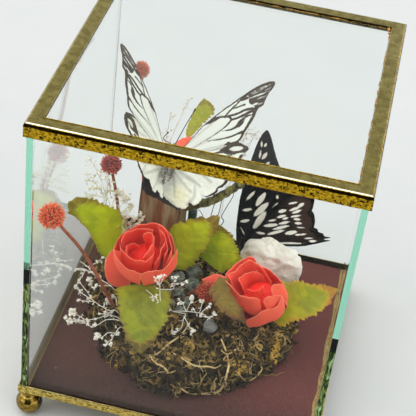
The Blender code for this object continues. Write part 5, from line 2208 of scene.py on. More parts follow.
BLACK_FORE_SPOTS = spots((
    (52.7, -1.6, 50.8, -1.2, 0.9), (51.2, 0.2, 52.1, 0.5, 1.1), (45.4, -1.0, 48.1, -1.1, 1.0),
    (45.4, 0.6, 47.6, 1.5, 1.6), (42.9, 2.9, 43.8, 3.5, 1.1), (25.9, -2.1, 29.7, 0.0, 1.4),
    (24.6, 2.8, 29.8, 4.7, 2.5), (19.4, 3.2, 25.2, 6.6, 2.8), (13.5, 4.1, 20.4, 6.7, 3.0),
    (19.9, -2.5, 21.1, 0.2, 1.5), (14.2, -2.3, 15.3, 0.1, 1.5), (10.8, -2.0, 8.2, -0.1, 0.5),
    (30.7, 10.7, 29.9, 10.9, 1.1), (25.5, 10.2, 27.5, 11.6, 0.5),
))
BLACK_HIND_SPOTS = spots((
    (24.0, 13.5, 25.0, 15.3, 1.7), (29.3, 21.5, 30.4, 22.6, 1.6), (25.9, 18.1, 28.4, 21.3, 1.3),
    (24.9, 19.3, 27.0, 22.3, 1.2), (20.9, 13.2, 22.6, 16.1, 1.3), (22.9, 19.3, 24.4, 22.4, 1.1),
    (20.7, 15.7, 21.8, 17.4, 1.1), (22.0, 20.7, 22.5, 22.8, 1.1), (18.2, 9.9, 19.2, 12.1, 1.0),
    (20.3, 21.7, 20.7, 23.7, 1.2), (18.0, 14.8, 19.9, 18.0, 1.3), (15.3, 8.7, 17.1, 13.2, 1.7),
    (14.7, 12.8, 17.8, 18.1, 1.5), (18.5, 23.1, 18.8, 25.4, 0.7), (11.6, 10.9, 15.1, 16.8, 1.5),
    (10.9, 5.9, 11.2, 8.6, 1.3), (14.2, 18.9, 15.8, 22.3, 1.9), (14.5, 23.0, 15.3, 25.0, 0.9),
    (15.3, 25.2, 16.0, 26.9, 0.9), (13.9, 27.5, 14.9, 30.4, 0.8), (13.2, 30.0, 13.8, 32.1, 1.1),
    (8.4, 16.5, 11.0, 26.0, 0.9), (29.0, 16.9, 30.4, 19.6, 1.0),
))
BLACK_FORE_VEINS = tuple(Vein(route, 0.5, 0.4) for route in (
    ((0.0, 0.2), (14.0, 0.6), (28.0, -0.8), (44.0, -2.2)), ((0.0, 0.6), (12.8, 4.4), (24.0, 9.6)),
    ((24.0, 2.0), (36.0, 2.0), (50.0, 2.0)), ((24.0, 3.0), (34.0, 5.6), (45.0, 6.6)),
    ((22.0, 6.0), (30.0, 9.4), (38.0, 12.4)),
))
BLACK_HIND_VEINS = tuple(Vein(route, 0.5, 0.35) for route in (
    ((0.0, 0.5), (14.0, 6.4), (32.5, 17.0)), ((4.0, 3.0), (14.0, 11.0), (27.0, 24.6)),
    ((4.0, 4.0), (12.0, 15.0), (20.0, 28.0)), ((4.0, 6.0), (10.0, 18.0), (15.0, 34.0)),
))


def black_forewing_marks(flat: np.ndarray, edge: np.ndarray) -> dict[str, np.ndarray]:
    """Cream spots on black, browner towards the root."""
    return {"marks": nearest(BLACK_FORE_SPOTS, flat), "faint": nearest(BLACK_FORE_VEINS, flat),
            "warm": np.clip(0.3 - flat[:, 0] / 26.0, 0.0, 0.3)}


def black_hindwing_marks(flat: np.ndarray, edge: np.ndarray) -> dict[str, np.ndarray]:
    """Rows of cream spots on black, browner towards the scalloped edge.

    Args:
        flat: points on the wing: along, across.
        edge: each one's distance to the rim.

    Returns:
        The values of MARKS at each point, by name.
    """
    away = line_gap(flat, ((31.0, 22.4), (24.0, 25.6), (19.6, 27.4)))
    brown = np.clip(1.3 - away / 9.0, 0.35, 1.0) * np.clip((edge - 0.7) / 0.8, 0.0, 1.0)
    return {"marks": nearest(BLACK_HIND_SPOTS, flat), "faint": nearest(BLACK_HIND_VEINS, flat),
            "warm": brown}


WHITE_FOREWING = WingPlan(
    ((-2.0, -0.6), (5.9, -0.8), (11.4, -2.0), (18.6, -3.4), (30.1, -3.8), (42.4, -3.5), (47.6, -2.8),
     (51.3, -1.7), (53.4, -0.2), (52.4, 1.2), (47.5, 3.0), (43.8, 5.3), (40.9, 5.4), (36.9, 7.8),
     (30.8, 10.3), (27.6, 12.0), (24.0, 11.6), (14.0, 8.0), (-1.0, 2.2)),
    white_forewing_marks, tuple(vein.route for vein in WHITE_VEINS))
WHITE_HINDWING = WingPlan(
    ((-1.0, -0.8), (12.0, 3.0), (22.0, 9.0), (26.4, 12.0), (28.6, 17.0), (26.2, 17.8), (23.0, 18.9),
     (17.6, 21.0), (12.6, 23.0), (9.2, 22.8), (8.1, 23.6), (5.1, 23.1), (2.6, 22.2), (1.5, 19.9),
     (0.8, 22.0), (-1.5, 22.7), (-3.4, 22.6), (-4.5, 20.2), (-5.4, 20.8), (-7.4, 21.3), (-9.1, 19.7),
     (-10.6, 17.6), (-11.6, 14.6), (-12.4, 10.6), (-8.0, 4.0)),
    white_hindwing_marks, tuple(vein.route for vein in WHITE_HIND_FOLDS), 0.6, 0.5, 0.7)
TORN_HINDWING = WingPlan(
    ((-1.0, -0.8), (12.0, 4.0), (20.0, 9.0), (23.4, 12.2), (23.8, 15.2), (22.2, 16.6), (17.5, 17.2),
     (13.5, 17.0), (8.0, 18.2), (2.2, 19.0), (-2.7, 17.5), (-5.1, 15.2), (-8.8, 15.6), (-10.8, 14.8),
     (-10.9, 12.8), (-14.9, 12.5), (-12.8, 10.2), (-8.5, 8.0), (-5.0, 3.0)),
    torn_hindwing_marks, tuple(vein.route for vein in WHITE_HIND_FOLDS), 0.5, 0.6, 0.7)
BLACK_FOREWING = WingPlan(
    ((-1.0, -1.2), (8.8, -4.0), (20.8, -5.3), (29.7, -5.4), (44.3, -4.3), (52.6, -3.0), (56.6, -1.3),
     (56.6, 0.3), (53.0, 2.6), (48.4, 4.8), (42.8, 8.0), (37.0, 12.6), (31.0, 15.0), (24.0, 12.6),
     (12.0, 6.6), (-1.0, 1.6)),
    black_forewing_marks, tuple(vein.route for vein in BLACK_FORE_VEINS), 0.4)
BLACK_HINDWING = WingPlan(
    ((-1.0, -1.0), (11.2, 4.4), (20.0, 8.4), (31.9, 14.7), (34.4, 20.0), (34.0, 25.6), (31.7, 27.2),
     (28.9, 27.4), (26.6, 26.6), (26.0, 27.8), (23.7, 29.3), (19.9, 30.1), (18.9, 29.5), (18.2, 31.8),
     (17.1, 32.4), (16.9, 34.6), (15.7, 36.0), (15.8, 38.6), (14.3, 35.9), (12.1, 31.9), (9.2, 25.6),
     (7.0, 17.3), (4.6, 6.5)),
    black_hindwing_marks, tuple(vein.route for vein in BLACK_HIND_VEINS), 0.4)


@dataclass(frozen=True)
class InsectBody:
    """A furry thorax, a ringed abdomen and a head with eyes."""

    name: str
    tail: Point
    head: Point
    girth: float
    fur: Finish
    slot: str
    feelers: tuple[tuple[Point, ...], ...]
    feeler_root: Point
    hair_length: float = 1.6
    hairs: int = 1500

    def trunk(self, shape: Shape) -> None:
        """Adds the body as one turned form.

        Args:
            shape: where it goes.
        """
        tail, head = np.array(self.tail), np.array(self.head)
        shares = ((0.0, 0.05), (0.03, 0.35), (0.15, 0.62), (0.35, 0.72), (0.5, 0.55), (0.58, 0.86),
                  (0.68, 0.94), (0.8, 0.8), (0.86, 0.5), (0.92, 0.62), (0.98, 0.42), (1.0, 0.05))
        steps = np.linspace(0.0, 1.0, 72)
        widths = np.interp(steps, [s for s, _ in shares], [w for _, w in shares])
        rings = np.where(steps < 0.5, 0.05 * np.abs(np.sin(steps * 2.0 * math.pi * 9.0)), 0.0)
        route = tail + np.outer(steps, head - tail)
        shape.tube(route, self.girth * (widths + rings), 28)

    def extras(self, shape: Shape) -> None:
        """Adds eyes and palps.

        Args:
            shape: where they go.
        """
        head = np.array(self.head)
        way = unit(head - np.array(self.tail))
        side = unit(np.cross(way, (0.0, 0.05, 1.0)))
        for sign in (-1.0, 1.0):
            eye = head - way * 0.9 + side * sign * self.girth * 0.44
            shape.tube([eye - side * 0.5, eye - side * 0.3, eye, eye + side * 0.3, eye + side * 0.5],
                       [0.1, 0.5, 0.68, 0.5, 0.1], 14)
            palp = head + side * sign * 0.3
            shape.tube([palp, palp + way * 0.8 + (0.0, 0.0, 0.3), palp + way * 1.3 + (0.0, 0.0, 0.9)],
                       [0.3, 0.24, 0.08], 6)

    def add_feelers(self) -> None:
        """The clubbed feelers, a dark piece of their own."""
        shape = Shape()
        root = np.array(self.feeler_root)
        for line in self.feelers:
            route = smooth_route([root, *line], 14)
            share = np.linspace(0.0, 1.0, len(route))
            club = np.clip((share - 0.86) / 0.1, 0.0, 1.0) * np.clip((1.02 - share) / 0.04, 0.2, 1.0)
            shape.tube(route, 0.19 + 0.24 * club, 8)
        shape.piece(f"{self.name}_feelers", Finish.BLACK_FUR, self.slot)

    def build(self) -> Shape:
        """The smooth parts, before the legs are added.

        Returns:
            A shape that holds them.
        """
        shape = Shape()
        self.trunk(shape)
        self.extras(shape)
        return shape

    def add_fur(self) -> None:
        """Hairs over the thorax and the abdomen, as a piece of their own."""
        under = Shape()
        tail, head = np.array(self.tail), np.array(self.head)
        steps = np.linspace(0.04, 0.97, 30)
        widths = np.interp(steps, (0.0, 0.15, 0.35, 0.5, 0.58, 0.68, 0.8, 0.9, 1.0),
                           (0.2, 0.6, 0.68, 0.52, 0.84, 0.92, 0.78, 0.5, 0.3))
        under.tube(tail + np.outer(steps, head - tail), self.girth * widths, 16)
        surface = under.mesh(f"{self.name}_skin", self.fur)
        rng = random.Random(3)
        shapes = []
        for k in range(6):
            length = self.hair_length * rng.uniform(0.6, 1.0)
            lean = rng.uniform(-0.5, 0.5) * length
            route = np.array([(0.0, 0.0, -0.1), (lean * 0.3, 0.0, length * 0.55), (lean, 0.0, length)])
            shapes.append(sprig(f"hair_{k}", route, (0.09, 0.07, 0.02), 3))
        area = sum(face.area for face in surface.polygons)
        made = ScatterTree(f"{self.name}_scatter").scatter(
            f"{self.name}_fur", surface, shapes, self.fur, Density=self.hairs / area, Seed=8,
            Smallest=0.5, Largest=1.1, Lean=0.9)
        set_out(made)


@dataclass
class Butterflies:
    """The pale butterfly on the post and the dark swallowtail behind the stone."""

    white_body: InsectBody = InsectBody(
        "white_body", (-23.4, 9.6, 79.8), (-24.9, 32.6, 80.6), 3.2, Finish.GREY_FUR, "white_wings",
        (((-21.6, 37.0, 89.4), (-18.7, 42.0, 96.0)), ((-29.9, 33.0, 82.8), (-29.1, 38.0, 83.4))),
        (-24.6, 31.6, 81.4))
    black_body: InsectBody = InsectBody(
        "black_body", (31.0, 33.6, 34.6), (9.6, 31.8, 33.6), 2.7, Finish.BLACK_FUR, "black_wings",
        (((11.0, 29.8, 38.4), (11.8, 28.6, 44.0)), ((11.4, 34.6, 38.2), (12.4, 36.4, 43.6))),
        (10.6, 31.9, 33.8), 1.0, 900)
    thickness: float = 0.3

    def white(self) -> None:
        """The pale butterfly, facing away, wings raised."""
        right = ((-22.5, 23.0, 83.0), (0.676, 0.394, 0.622), (0.704, -0.595, -0.387))
        left = ((-26.5, 23.0, 83.0), (-0.541, 0.337, 0.771), (-0.36, -0.92, 0.15))
        fore, hind = Shape(*MARKS), Shape(*MARKS)
        for (root, along, across), plan, stretch in ((right, WHITE_HINDWING, 1.0),
                                                     (left, TORN_HINDWING, 0.95)):
            WHITE_FOREWING.add_to(fore, root, along, across, self.thickness, stretch=stretch)
            under = np.array(root) + (0.0, -0.1, -0.6)
            plan.add_to(hind, under, along, across, self.thickness, -0.1)
        fore.piece("white_forewings", Finish.WHITE_WING, "white_wings", ("white_butterfly",))
        hind.piece("white_hindwings", Finish.WHITE_WING, "white_wings")
        body = self.white_body.build()
        self.legs(body)
        body.piece("white_body_form", Finish.GREY_FUR, "white_wings")
        self.white_body.add_fur()
        self.white_body.add_feelers()
        self.frayed()

    def legs(self, shape: Shape) -> None:
        """Four jointed legs that grip the post.

        Args:
            shape: where they go.
        """
        thorax = np.array((-24.6, 23.5, 81.8))
        for side, foot_y, foot_z in ((-1, 17.0, 76.4), (-1, 21.0, 76.2), (1, 17.0, 71.6),
                                     (1, 21.0, 71.8)):
            start = thorax + (side * 0.8, (foot_y - 19.0) * 0.6, -0.6)
            knee = start + (side * 3.2, 0.0, 0.2)
            foot = np.array((-24.0 + side * 6.4, foot_y, foot_z))
            ankle = knee + (foot - knee) * 0.72
            shape.tube([start, (start + knee) / 2 + (0.0, 0.0, 0.15), knee], [0.36, 0.34, 0.26], 8)
            shape.tube([knee, ankle, foot], [0.28, 0.2, 0.12], 8)

    def frayed(self) -> None:
        """Pale hairs at the inner edge of the hindwings."""
        shape = Shape()
        rng = random.Random(14)
        for _ in range(260):
            share = rng.random()
            base = np.array((-23.6, 10.0, 80.3)) + np.array((-0.9, 12.0, 2.2)) * share
            side = rng.choice((-1.0, 1.0))
            way = unit((side * rng.uniform(0.4, 1.0), rng.uniform(-0.9, -0.2), rng.uniform(-0.3, 0.5)))
            length = rng.uniform(1.2, 3.4)
            shape.tube([base + way * 0.8, base + way * length * 0.6, base + way * length + (0, 0, -0.3)],
                       [0.08, 0.07, 0.02], 3)
        shape.piece("white_body_fringe", Finish.WHITE_SPRAY, "white_wings")

    def black(self) -> None:
        """The dark butterfly, wings closed over its back."""
        root = np.array((11.6, 32.2, 33.6))
        along, across = np.array((0.042, 0.237, 0.971)), (0.999, 0.004, -0.045)
        outward = unit(np.cross(across, along))
        fore, hind = Shape(*MARKS), Shape(*MARKS)
        for side in (-1.0, 1.0):
            splay = along - outward * 0.028 * side
            shift = outward * 0.5 * side
            BLACK_FOREWING.add_to(fore, root - shift, splay, across, self.thickness)
            BLACK_HINDWING.add_to(hind, root - shift * 2.6, splay, across, self.thickness)
        fore.piece("black_forewings", Finish.BLACK_WING, "black_wings", ("black_butterfly",))
        hind.piece("black_hindwings", Finish.BLACK_WING, "black_wings")
        body = self.black_body.build()
        for side in (-1.0, 1.0):
            for k in range(3):
                start = np.array((13.0 + 1.6 * k, 32.0 + side * 1.2, 32.6))
                knee = start + (0.4, side * 2.2, 0.6)
                body.tube([start, knee, knee + (0.8, side * 1.0, -3.6)], [0.26, 0.2, 0.1], 7)
        body.piece("black_body_form", Finish.BLACK_FUR, "black_wings")
        self.black_body.add_fur()
        self.black_body.add_feelers()

    def build(self) -> None:
        """Makes both."""
        self.white()
        self.black()


@dataclass(frozen=True)
class Petal:
    """One petal of a rose, by its rim: degrees round the axis, then reach and
    height as shares of the rose's radius."""

    rim: tuple[Point, ...]
    base: float = -0.95
    curl: float = 0.04

    def grid(self, radius: float, rows: int, columns: int, seed: float) -> tuple[np.ndarray, ...]:
        """Points of the petal about the flower's axis.

        Args:
            radius: the rose's radius, in millimetres.
            rows, columns: how many points it has up and across.
            seed: shifts its ruffles.

        Returns:
            The points (rows, columns, 3), the share of its height and the
            distance to its rim in millimetres.
        """
        line = smooth_route(sorted(self.rim), 8)
        spots = np.linspace(0.0, len(line) - 1.0, columns)
        turn, reach, peak = (np.interp(spots, np.arange(len(line)), line[:, k]) for k in range(3))
        t = np.linspace(0.0, 1.0, rows)[:, None]
        s = np.linspace(-1.0, 1.0, columns)[None, :]
        middle = (turn[0] + turn[-1]) / 2.0
        angle = np.radians(middle + (turn - middle)[None, :] * (0.72 + 0.28 * t))
        swell = np.sin(math.pi / 2.0 * np.minimum(1.0, t / 0.62)) ** 0.8
        out = reach[None, :] * (0.3 + 0.7 * swell) * (1.0 + 0.05 * np.sin(math.pi * t))
        out += self.curl * t**7 + 0.012 * np.sin(9.0 * angle + seed) * t
        ruffle = 0.018 * np.sin(13.0 * angle + 2.0 * seed) + 0.012 * np.sin(29.0 * angle + seed)
        high = peak[None, :] + ruffle
        height = self.base + (high - self.base) * t
        points = np.stack([out * np.cos(angle), out * np.sin(angle), height], axis=2) * radius
        wide = math.radians(float(turn[-1] - turn[0])) * 0.5 * out * radius
        rim = np.minimum((1.0 - t) * (high - self.base) * radius, (1.0 - np.abs(s)) * wide)
        return points, t + 0.0 * s, rim


# The petals of each kind of rose; 270 degrees round the axis faces the viewer
OPEN_ROSE = (
    Petal(((182, 1.03, 0.75), (200, 1.03, 0.9), (212, 1.02, 0.72), (235, 1.0, 0.6), (252, 1.0, 0.62),
           (266, 0.99, 0.5))),
    Petal(((262, 1.02, 0.45), (274, 1.02, 0.66), (290, 1.02, 0.68), (309, 1.03, 0.5), (322, 1.05, 0.6),
           (335, 1.08, 0.78), (344, 1.13, 1.05))),
    Petal(((5, 1.0, 0.1), (20, 1.0, 0.35), (37, 1.0, 0.56), (73, 1.0, 0.57), (90, 1.0, 0.43),
           (129, 1.0, 0.32), (148, 1.02, 0.3), (175, 1.04, 0.2))),
    Petal(((-44, 0.9, 0.25), (-32, 0.9, 0.56), (-22, 0.9, 0.66), (0, 0.88, 0.52), (20, 0.9, 0.5),
           (34, 0.9, 0.6), (45, 0.9, 0.75), (62, 0.9, 0.8))),
    Petal(((-43, 0.8, 0.1), (-29, 0.76, 0.56), (-20, 0.76, 0.68), (0, 0.74, 0.6), (20, 0.74, 0.6),
           (36, 0.76, 0.66), (50, 0.76, 0.72))),
    Petal(((180, 0.8, 0.8), (213, 0.72, 0.82), (226, 0.66, 0.71), (244, 0.62, 0.69), (261, 0.6, 0.72),
           (281, 0.58, 0.73), (295, 0.56, 0.81), (310, 0.5, 1.0))),
    Petal(((70, 0.8, 0.42), (89, 0.8, 0.42), (106, 0.8, 0.46), (126, 0.8, 0.56), (143, 0.8, 0.64),
           (165, 0.82, 0.55))),
    Petal(((265, 0.45, 0.66), (277, 0.4, 0.8), (303, 0.3, 0.95), (335, 0.3, 1.05), (375, 0.3, 1.0),
           (401, 0.35, 0.95), (420, 0.35, 0.98), (450, 0.3, 0.93), (461, 0.3, 0.8)), -0.4),
    Petal(((122, 0.3, 0.15), (135, 0.45, 0.25), (154, 0.6, 0.3), (180, 0.6, 0.5), (213, 0.65, 0.9)),
          -0.6),
    Petal(((300, 0.66, 0.5), (320, 0.62, 0.68), (337, 0.56, 0.74), (350, 0.55, 0.7), (360, 0.6, 0.7),
           (372, 0.66, 0.68)), -0.6),
)
TALL_ROSE = (
    Petal(((216, 1.0, -0.52), (235, 1.0, -0.29), (251, 1.0, -0.05), (265, 1.0, 0.08), (278, 1.0, 0.06),
           (290, 1.02, -0.05), (305, 1.03, 0.06), (315, 1.05, 0.13)), -1.25),
    Petal(((157, 0.95, 1.0), (196, 0.86, 1.15), (208, 0.8, 0.88), (220, 0.8, 0.78), (235, 0.8, 0.73),
           (252, 0.82, 0.74), (262, 0.84, 0.65), (267, 0.86, 0.51)), -1.2),
    Petal(((272, 0.92, 0.47), (279, 0.92, 0.59), (290, 0.92, 0.58), (303, 0.94, 0.41), (318, 1.0, 0.1)),
          -1.2),
    Petal(((300, 0.88, 0.7), (308, 0.9, 0.85), (321, 0.95, 0.72), (331, 1.0, 0.49), (337, 1.0, 0.19),
           (342, 1.0, 0.0)), -1.2),
    Petal(((24, 1.0, -0.4), (33, 1.0, -0.15), (42, 1.0, -0.03), (51, 1.0, 0.08), (62, 1.0, 0.2),
           (70, 1.0, 0.44)), -1.2),
    Petal(((35, 0.7, -0.22), (40, 0.7, 0.13), (50, 0.7, 0.42), (61, 0.75, 0.6), (72, 0.82, 0.7))),
    Petal(((50, 0.64, -0.5), (52, 0.64, -0.2), (56, 0.64, 0.09), (64, 0.62, 0.3), (78, 0.6, 0.42),
           (99, 0.6, 0.46), (120, 0.6, 0.54), (140, 0.55, 0.66), (155, 0.52, 0.72))),
    Petal(((200, 0.35, 0.55), (228, 0.3, 0.5), (250, 0.28, 0.45), (285, 0.28, 0.4), (320, 0.3, 0.45)),
          -0.6),
    Petal(((71, 1.0, 0.5), (73, 1.0, 0.78), (83, 1.0, 0.85), (96, 1.0, 0.83), (113, 1.0, 0.8),
           (131, 1.0, 0.85), (152, 1.0, 0.88)), -1.2),
    Petal(((73, 0.85, 0.66), (78, 0.85, 0.81), (93, 0.85, 0.81), (107, 0.85, 0.76), (124, 0.85, 0.71),
           (159, 0.85, 1.11)), -1.2),
    Petal(((318, 0.98, -0.1), (340, 0.97, 0.0), (360, 0.96, -0.1), (384, 0.97, -0.3)), -1.25),
    Petal(((60, 0.98, -0.1), (110, 0.97, 0.3), (160, 0.97, 0.4), (220, 0.96, 0.1)), -1.25),
)

BACK_ROSE = (
    Petal(((160, 1.02, 0.05), (185, 1.02, 0.3), (212, 1.0, 0.5), (240, 1.0, 0.62), (275, 1.0, 0.66),
           (300, 1.0, 0.56), (312, 1.0, 0.4))),
    Petal(((296, 1.04, 0.3), (330, 1.02, 0.5), (370, 1.0, 0.55), (410, 1.0, 0.36))),
    Petal(((40, 1.0, 0.3), (80, 1.0, 0.46), (120, 1.0, 0.5), (176, 1.04, 0.3))),
    OPEN_ROSE[3], OPEN_ROSE[4], OPEN_ROSE[6],
)


@dataclass(frozen=True)
class Rose:
    """A wrapped rose on its axis."""

    name: str
    centre: Point
    facing: Point
    across: Point
    radius: float
    petals: tuple[Petal, ...]
    seed: int
    rows: int = 28
    columns: int = 44
    thickness: float = 0.2
    crumple: float = 0.2

    def build(self) -> None:
        """Makes the flower in place of its node."""
        shape = Shape("rise", "rim", "outside")
        up = unit(self.facing)
        side = unit(np.array(self.across) - up * float(up.dot(self.across)))
        turn = np.column_stack([side, np.cross(up, side), up])
        rng = random.Random(self.seed)
        for petal in self.petals:
            points, rise, rim = petal.grid(self.radius, self.rows, self.columns, rng.uniform(0.0, 6.0))
            flat = points.reshape(-1, 3)
            flat += self.crumple * np.column_stack([lumps(flat, 0.3, self.seed + k) for k in range(3)])
            placed = flat @ turn.T + np.array(self.centre)
            shape.shell(placed.reshape(points.shape), self.thickness, True, rise=rise, rim=rim)
        base = min(petal.base for petal in self.petals)
        heart = np.array([(0.0, 0.0, z) for z in (base, base + 0.12, -0.5, -0.1, 0.12)])
        shape.tube(heart * self.radius @ turn.T + np.array(self.centre),
                   np.array((0.16, 0.32, 0.6, 0.56, 0.1)) * self.radius, 28, rise=0.0, rim=9.0,
                   outside=np.array((1.0, 1.0, 0.6, 0.0, 0.0)))
        shape.piece(f"{self.name}_petals", Finish.CORAL, "coral_petals", (self.name,))


@dataclass(frozen=True)
class Blade:
    """A leaf or a loose petal: a folded sheet whose half widths, even steps
    from base to tip, are given on both sides of the line between them."""

    name: str
    base: Point
    tip: Point
    across: Point
    plus: tuple[float, ...]
    minus: tuple[float, ...]
    droop: float
    teeth: int = 12
    tooth: float = 1.6
    fold: float = 0.14
    ripple: float = 1.2
    finish: Finish = Finish.LEAF
    slot: str = "green_leaf"
    rows: int = 156
    columns: int = 32
    thickness: float = 0.3
    vein_count: float = 6.2
    furrow: float = 0.26

    def width(self, values: tuple[float, ...], t: np.ndarray, shift: float) -> np.ndarray:
        """Half width at each share of the length, with the teeth of one side.

        Args:
            values: the half widths of that side.
            t: the shares of the length.
            shift: where its teeth begin, in teeth.

        Returns:
            A half width for each share.
        """
        steps = np.linspace(0.0, 1.0, len(values))
        line = smooth_route(list(zip(steps, values, values)), 8)
        wide = np.maximum(0.12, np.interp(t, line[:, 0], line[:, 1]))
        if self.teeth:
            uneven = 0.35 * np.sin(t * 23.0 + 5.0 * shift) + 0.2 * np.sin(t * 51.0 + shift)
            share = (t * self.teeth + uneven + shift) % 1.0
            rise = np.sin(math.pi / 2.0 * np.minimum(1.0, share / 0.7))
            fall = np.cos(math.pi / 2.0 * np.maximum(0.0, (share - 0.7) / 0.3))
            depth = self.tooth * (1.0 + 0.35 * np.sin(t * 31.0 + 2.0 * shift))
            wide = wide + depth * (rise * fall - 0.6) * np.clip(wide / 4.0, 0.0, 1.0)
        return wide

    def build(self) -> None:
        """Makes the sheet in place of its node."""
        base, tip = np.array(self.base), np.array(self.tip)
        length = float(np.linalg.norm(tip - base))
        along = (tip - base) / length
        side_way = unit(np.array(self.across) - along * float(np.dot(self.across, along)))
        up = np.cross(along, side_way)
        t, s = np.meshgrid(np.linspace(0.0, 1.0, self.rows + 1),
                           np.linspace(-1.0, 1.0, self.columns + 1), indexing="ij")
        plus, minus = self.width(self.plus, t, 0.0), self.width(self.minus, t, 0.45)
        half = (plus + minus) / 2.0
        off = s * half
        x = (plus - minus) / 2.0 + off
        seed = sum(ord(letter) for letter in self.name) % 17
        ripple = np.array([[noise.noise(Vector((a * 0.12, b * 0.1, seed))) for a, b in zip(ra, rb)]
                           for ra, rb in zip(t * length, x)])
        spacing = length / self.vein_count
        phase = (t * length - 0.8 * np.abs(off) - 0.02 * off * off) / spacing
        vein = np.abs(phase - np.round(phase)) * spacing * 0.74
        vein = np.minimum(vein, np.abs(off))
        furrow = np.exp(-((vein / 1.1) ** 2))
        lift = self.droop * np.sin(math.pi * t) + self.fold * np.abs(off)
        lift += self.ripple * ripple * np.abs(s) ** 1.3
        if self.teeth:
            lift -= self.furrow * furrow
        grid = base + t[..., None] * length * along + x[..., None] * side_way + lift[..., None] * up
        edge = half * (1.0 - np.abs(s))
        if self.finish is Finish.CORAL:
            shape = Shape("rise", "rim", "outside")
            rim = np.minimum(edge, (1.0 - t) * length)
            shape.shell(grid, self.thickness, True, rise=0.3 + 0.7 * t, rim=rim)
        else:
            shape = Shape("edge", "vein", "along")
            shape.shell(grid, self.thickness, False, edge=edge, vein=vein, along=t)
        shape.piece(f"{self.name}_blade", self.finish, self.slot, (self.name,))


def build_flowers(foot: Callable[[float, float], float]) -> None:
    """The roses, their loose petals and the back one's stem.

    Args:
        foot: gives the mat's height, in millimetres, at a place.
    """
    stem_foot = (-16.6, 33.0)
    side = (0.972, 0.209, 0.105)
    Rose("rose_left", (-24.4, -12.0, 55.2), (-0.02, -0.33, 0.944), side, 12.3, OPEN_ROSE, 1).build()
    Rose("rose_right", (25.4, -7.95, 45.6), (-0.325, -0.202, 0.924), (0.84, 0.402, 0.372), 11.6,
         TALL_ROSE, 2).build()
    Rose("rose_back", (-17.0, 43.6, 68.6), (0.1, 0.8, 0.6), (0.97, 0.1, -0.24), 9.6,
         BACK_ROSE, 3).build()
    Blade("rose_left_outer_petal", (-31.6, -16.0, 37.4), (-38.2, -14.0, 56.2), side,
          (0.2, 3.4, 5.0, 6.0, 6.6, 6.8, 6.2, 4.4, 0.6), (0.2, 3.6, 5.2, 5.8, 5.8, 5.2, 4.4, 3.0, 0.4),
          -1.5, 0, 0.0, 0.1, 1.0, Finish.CORAL, "coral_petals").build()
    Blade("rose_right_outer_petal", (12.0, -8.6, 49.8), (0.8, -8.0, 45.2), (0.0, 0.6, 0.8),
          (0.2, 0.9, 1.6, 2.2, 2.4, 2.2, 1.6, 1.0, 0.3), (0.2, 1.2, 1.6, 1.8, 1.6, 1.3, 1.0, 0.7, 0.3),
          1.0, 0, 0.0, 0.2, 0.6, Finish.CORAL, "coral_petals").build()
    route = smooth_route([(*stem_foot, foot(*stem_foot) - SUNK), (-17.0, 36.0, 46.0),
                          (-18.2, 41.2, 60.4)], 12)
    stem = Shape()
    stem.tube(route, 0.85 + 0.08 * lumps(route, 0.6), 10)
    stem.piece("rose_back_stem_rod", Finish.RUST_STEM, "stem", ("rose_back_stem",))


def build_leaves() -> None:
    """Seven toothed leaves."""
    for leaf in (
        Blade("leaf_upper_left", (-42.0, 0.0, 37.1), (-58.0, -16.0, 78.4), (0.8, 0.45, 0.55),
              (0.0, 8.5, 13.2, 15.6, 15.3, 13.6, 10.9, 8.2, 2.9),
              (0.0, 1.9, 1.5, 1.0, 0.6, 1.5, 1.7, 2.6, 0.2), 1.5),
        Blade("leaf_lower_left", (-21.6, -20.0, 47.4), (-16.2, -45.6, 31.5), (1.0, 0.25, -0.05),
              (0.0, 10.1, 11.0, 10.8, 10.6, 8.8, 6.9, 4.6, 1.0),
              (0.0, 11.2, 12.0, 11.2, 10.4, 9.0, 7.4, 5.6, 1.0), 3.0, finish=Finish.LOW_LEAF),
        Blade("leaf_centre", (-15.2, 2.6, 37.9), (2.5, 6.4, 70.0), (0.8, -0.15, -0.5),
              (0.0, 5.0, 5.9, 6.0, 5.4, 4.7, 3.7, 2.8, 0.3),
              (0.0, 8.5, 11.9, 12.8, 12.7, 10.4, 8.2, 4.4, 0.8), -1.5),
        Blade("leaf_behind", (7.1, 6.0, 39.7), (2.5, 12.4, 61.0), (0.95, -0.3, 0.2),
              (0.0, 5.1, 8.2, 10.5, 9.1, 7.8, 6.9, 4.5, 0.0),
              (0.0, 6.8, 11.4, 10.9, 9.9, 8.6, 6.4, 4.0, 0.0), -1.0),
        # Olive-brown, darkened with painted shade
        Blade("leaf_front_right", (8.1, -12.0, 52.7), (23.8, -27.2, 44.2), (0.75, 0.35, 0.45),
              (0.0, 2.7, 2.5, 1.6, 1.5, 1.6, 2.2, 1.1, 0.0),
              (0.0, 5.7, 6.8, 7.2, 6.9, 6.0, 4.7, 3.0, 0.0), 1.0, finish=Finish.OLIVE_LEAF),
        Blade("leaf_right", (31.5, -8.0, 32.2), (58.6, 3.0, 47.6), (-0.15, 0.82, 0.5),
              (0.0, 8.7, 11.5, 12.0, 10.4, 8.0, 5.2, 3.2, 0.0),
              (0.0, 6.4, 6.8, 7.3, 7.6, 7.8, 6.2, 4.1, 0.0), 1.0, finish=Finish.GOLD_LEAF),
        Blade("leaf_top_back", (-21.7, 45.0, 77.6), (-15.5, 42.4, 102.1), (0.95, 0.1, -0.2),
              (0.0, 2.2, 3.2, 4.1, 5.0, 6.0, 6.4, 4.9, 0.0),
              (0.0, 1.3, 1.7, 1.8, 1.7, 1.6, 1.3, 0.8, 0.0), 0.6, 7, 1.2, finish=Finish.PALE_LEAF),
    ):
        leaf.build()


# The turn from one bract to the next that spreads them evenly, in radians
GOLDEN_TURN = 2.39996


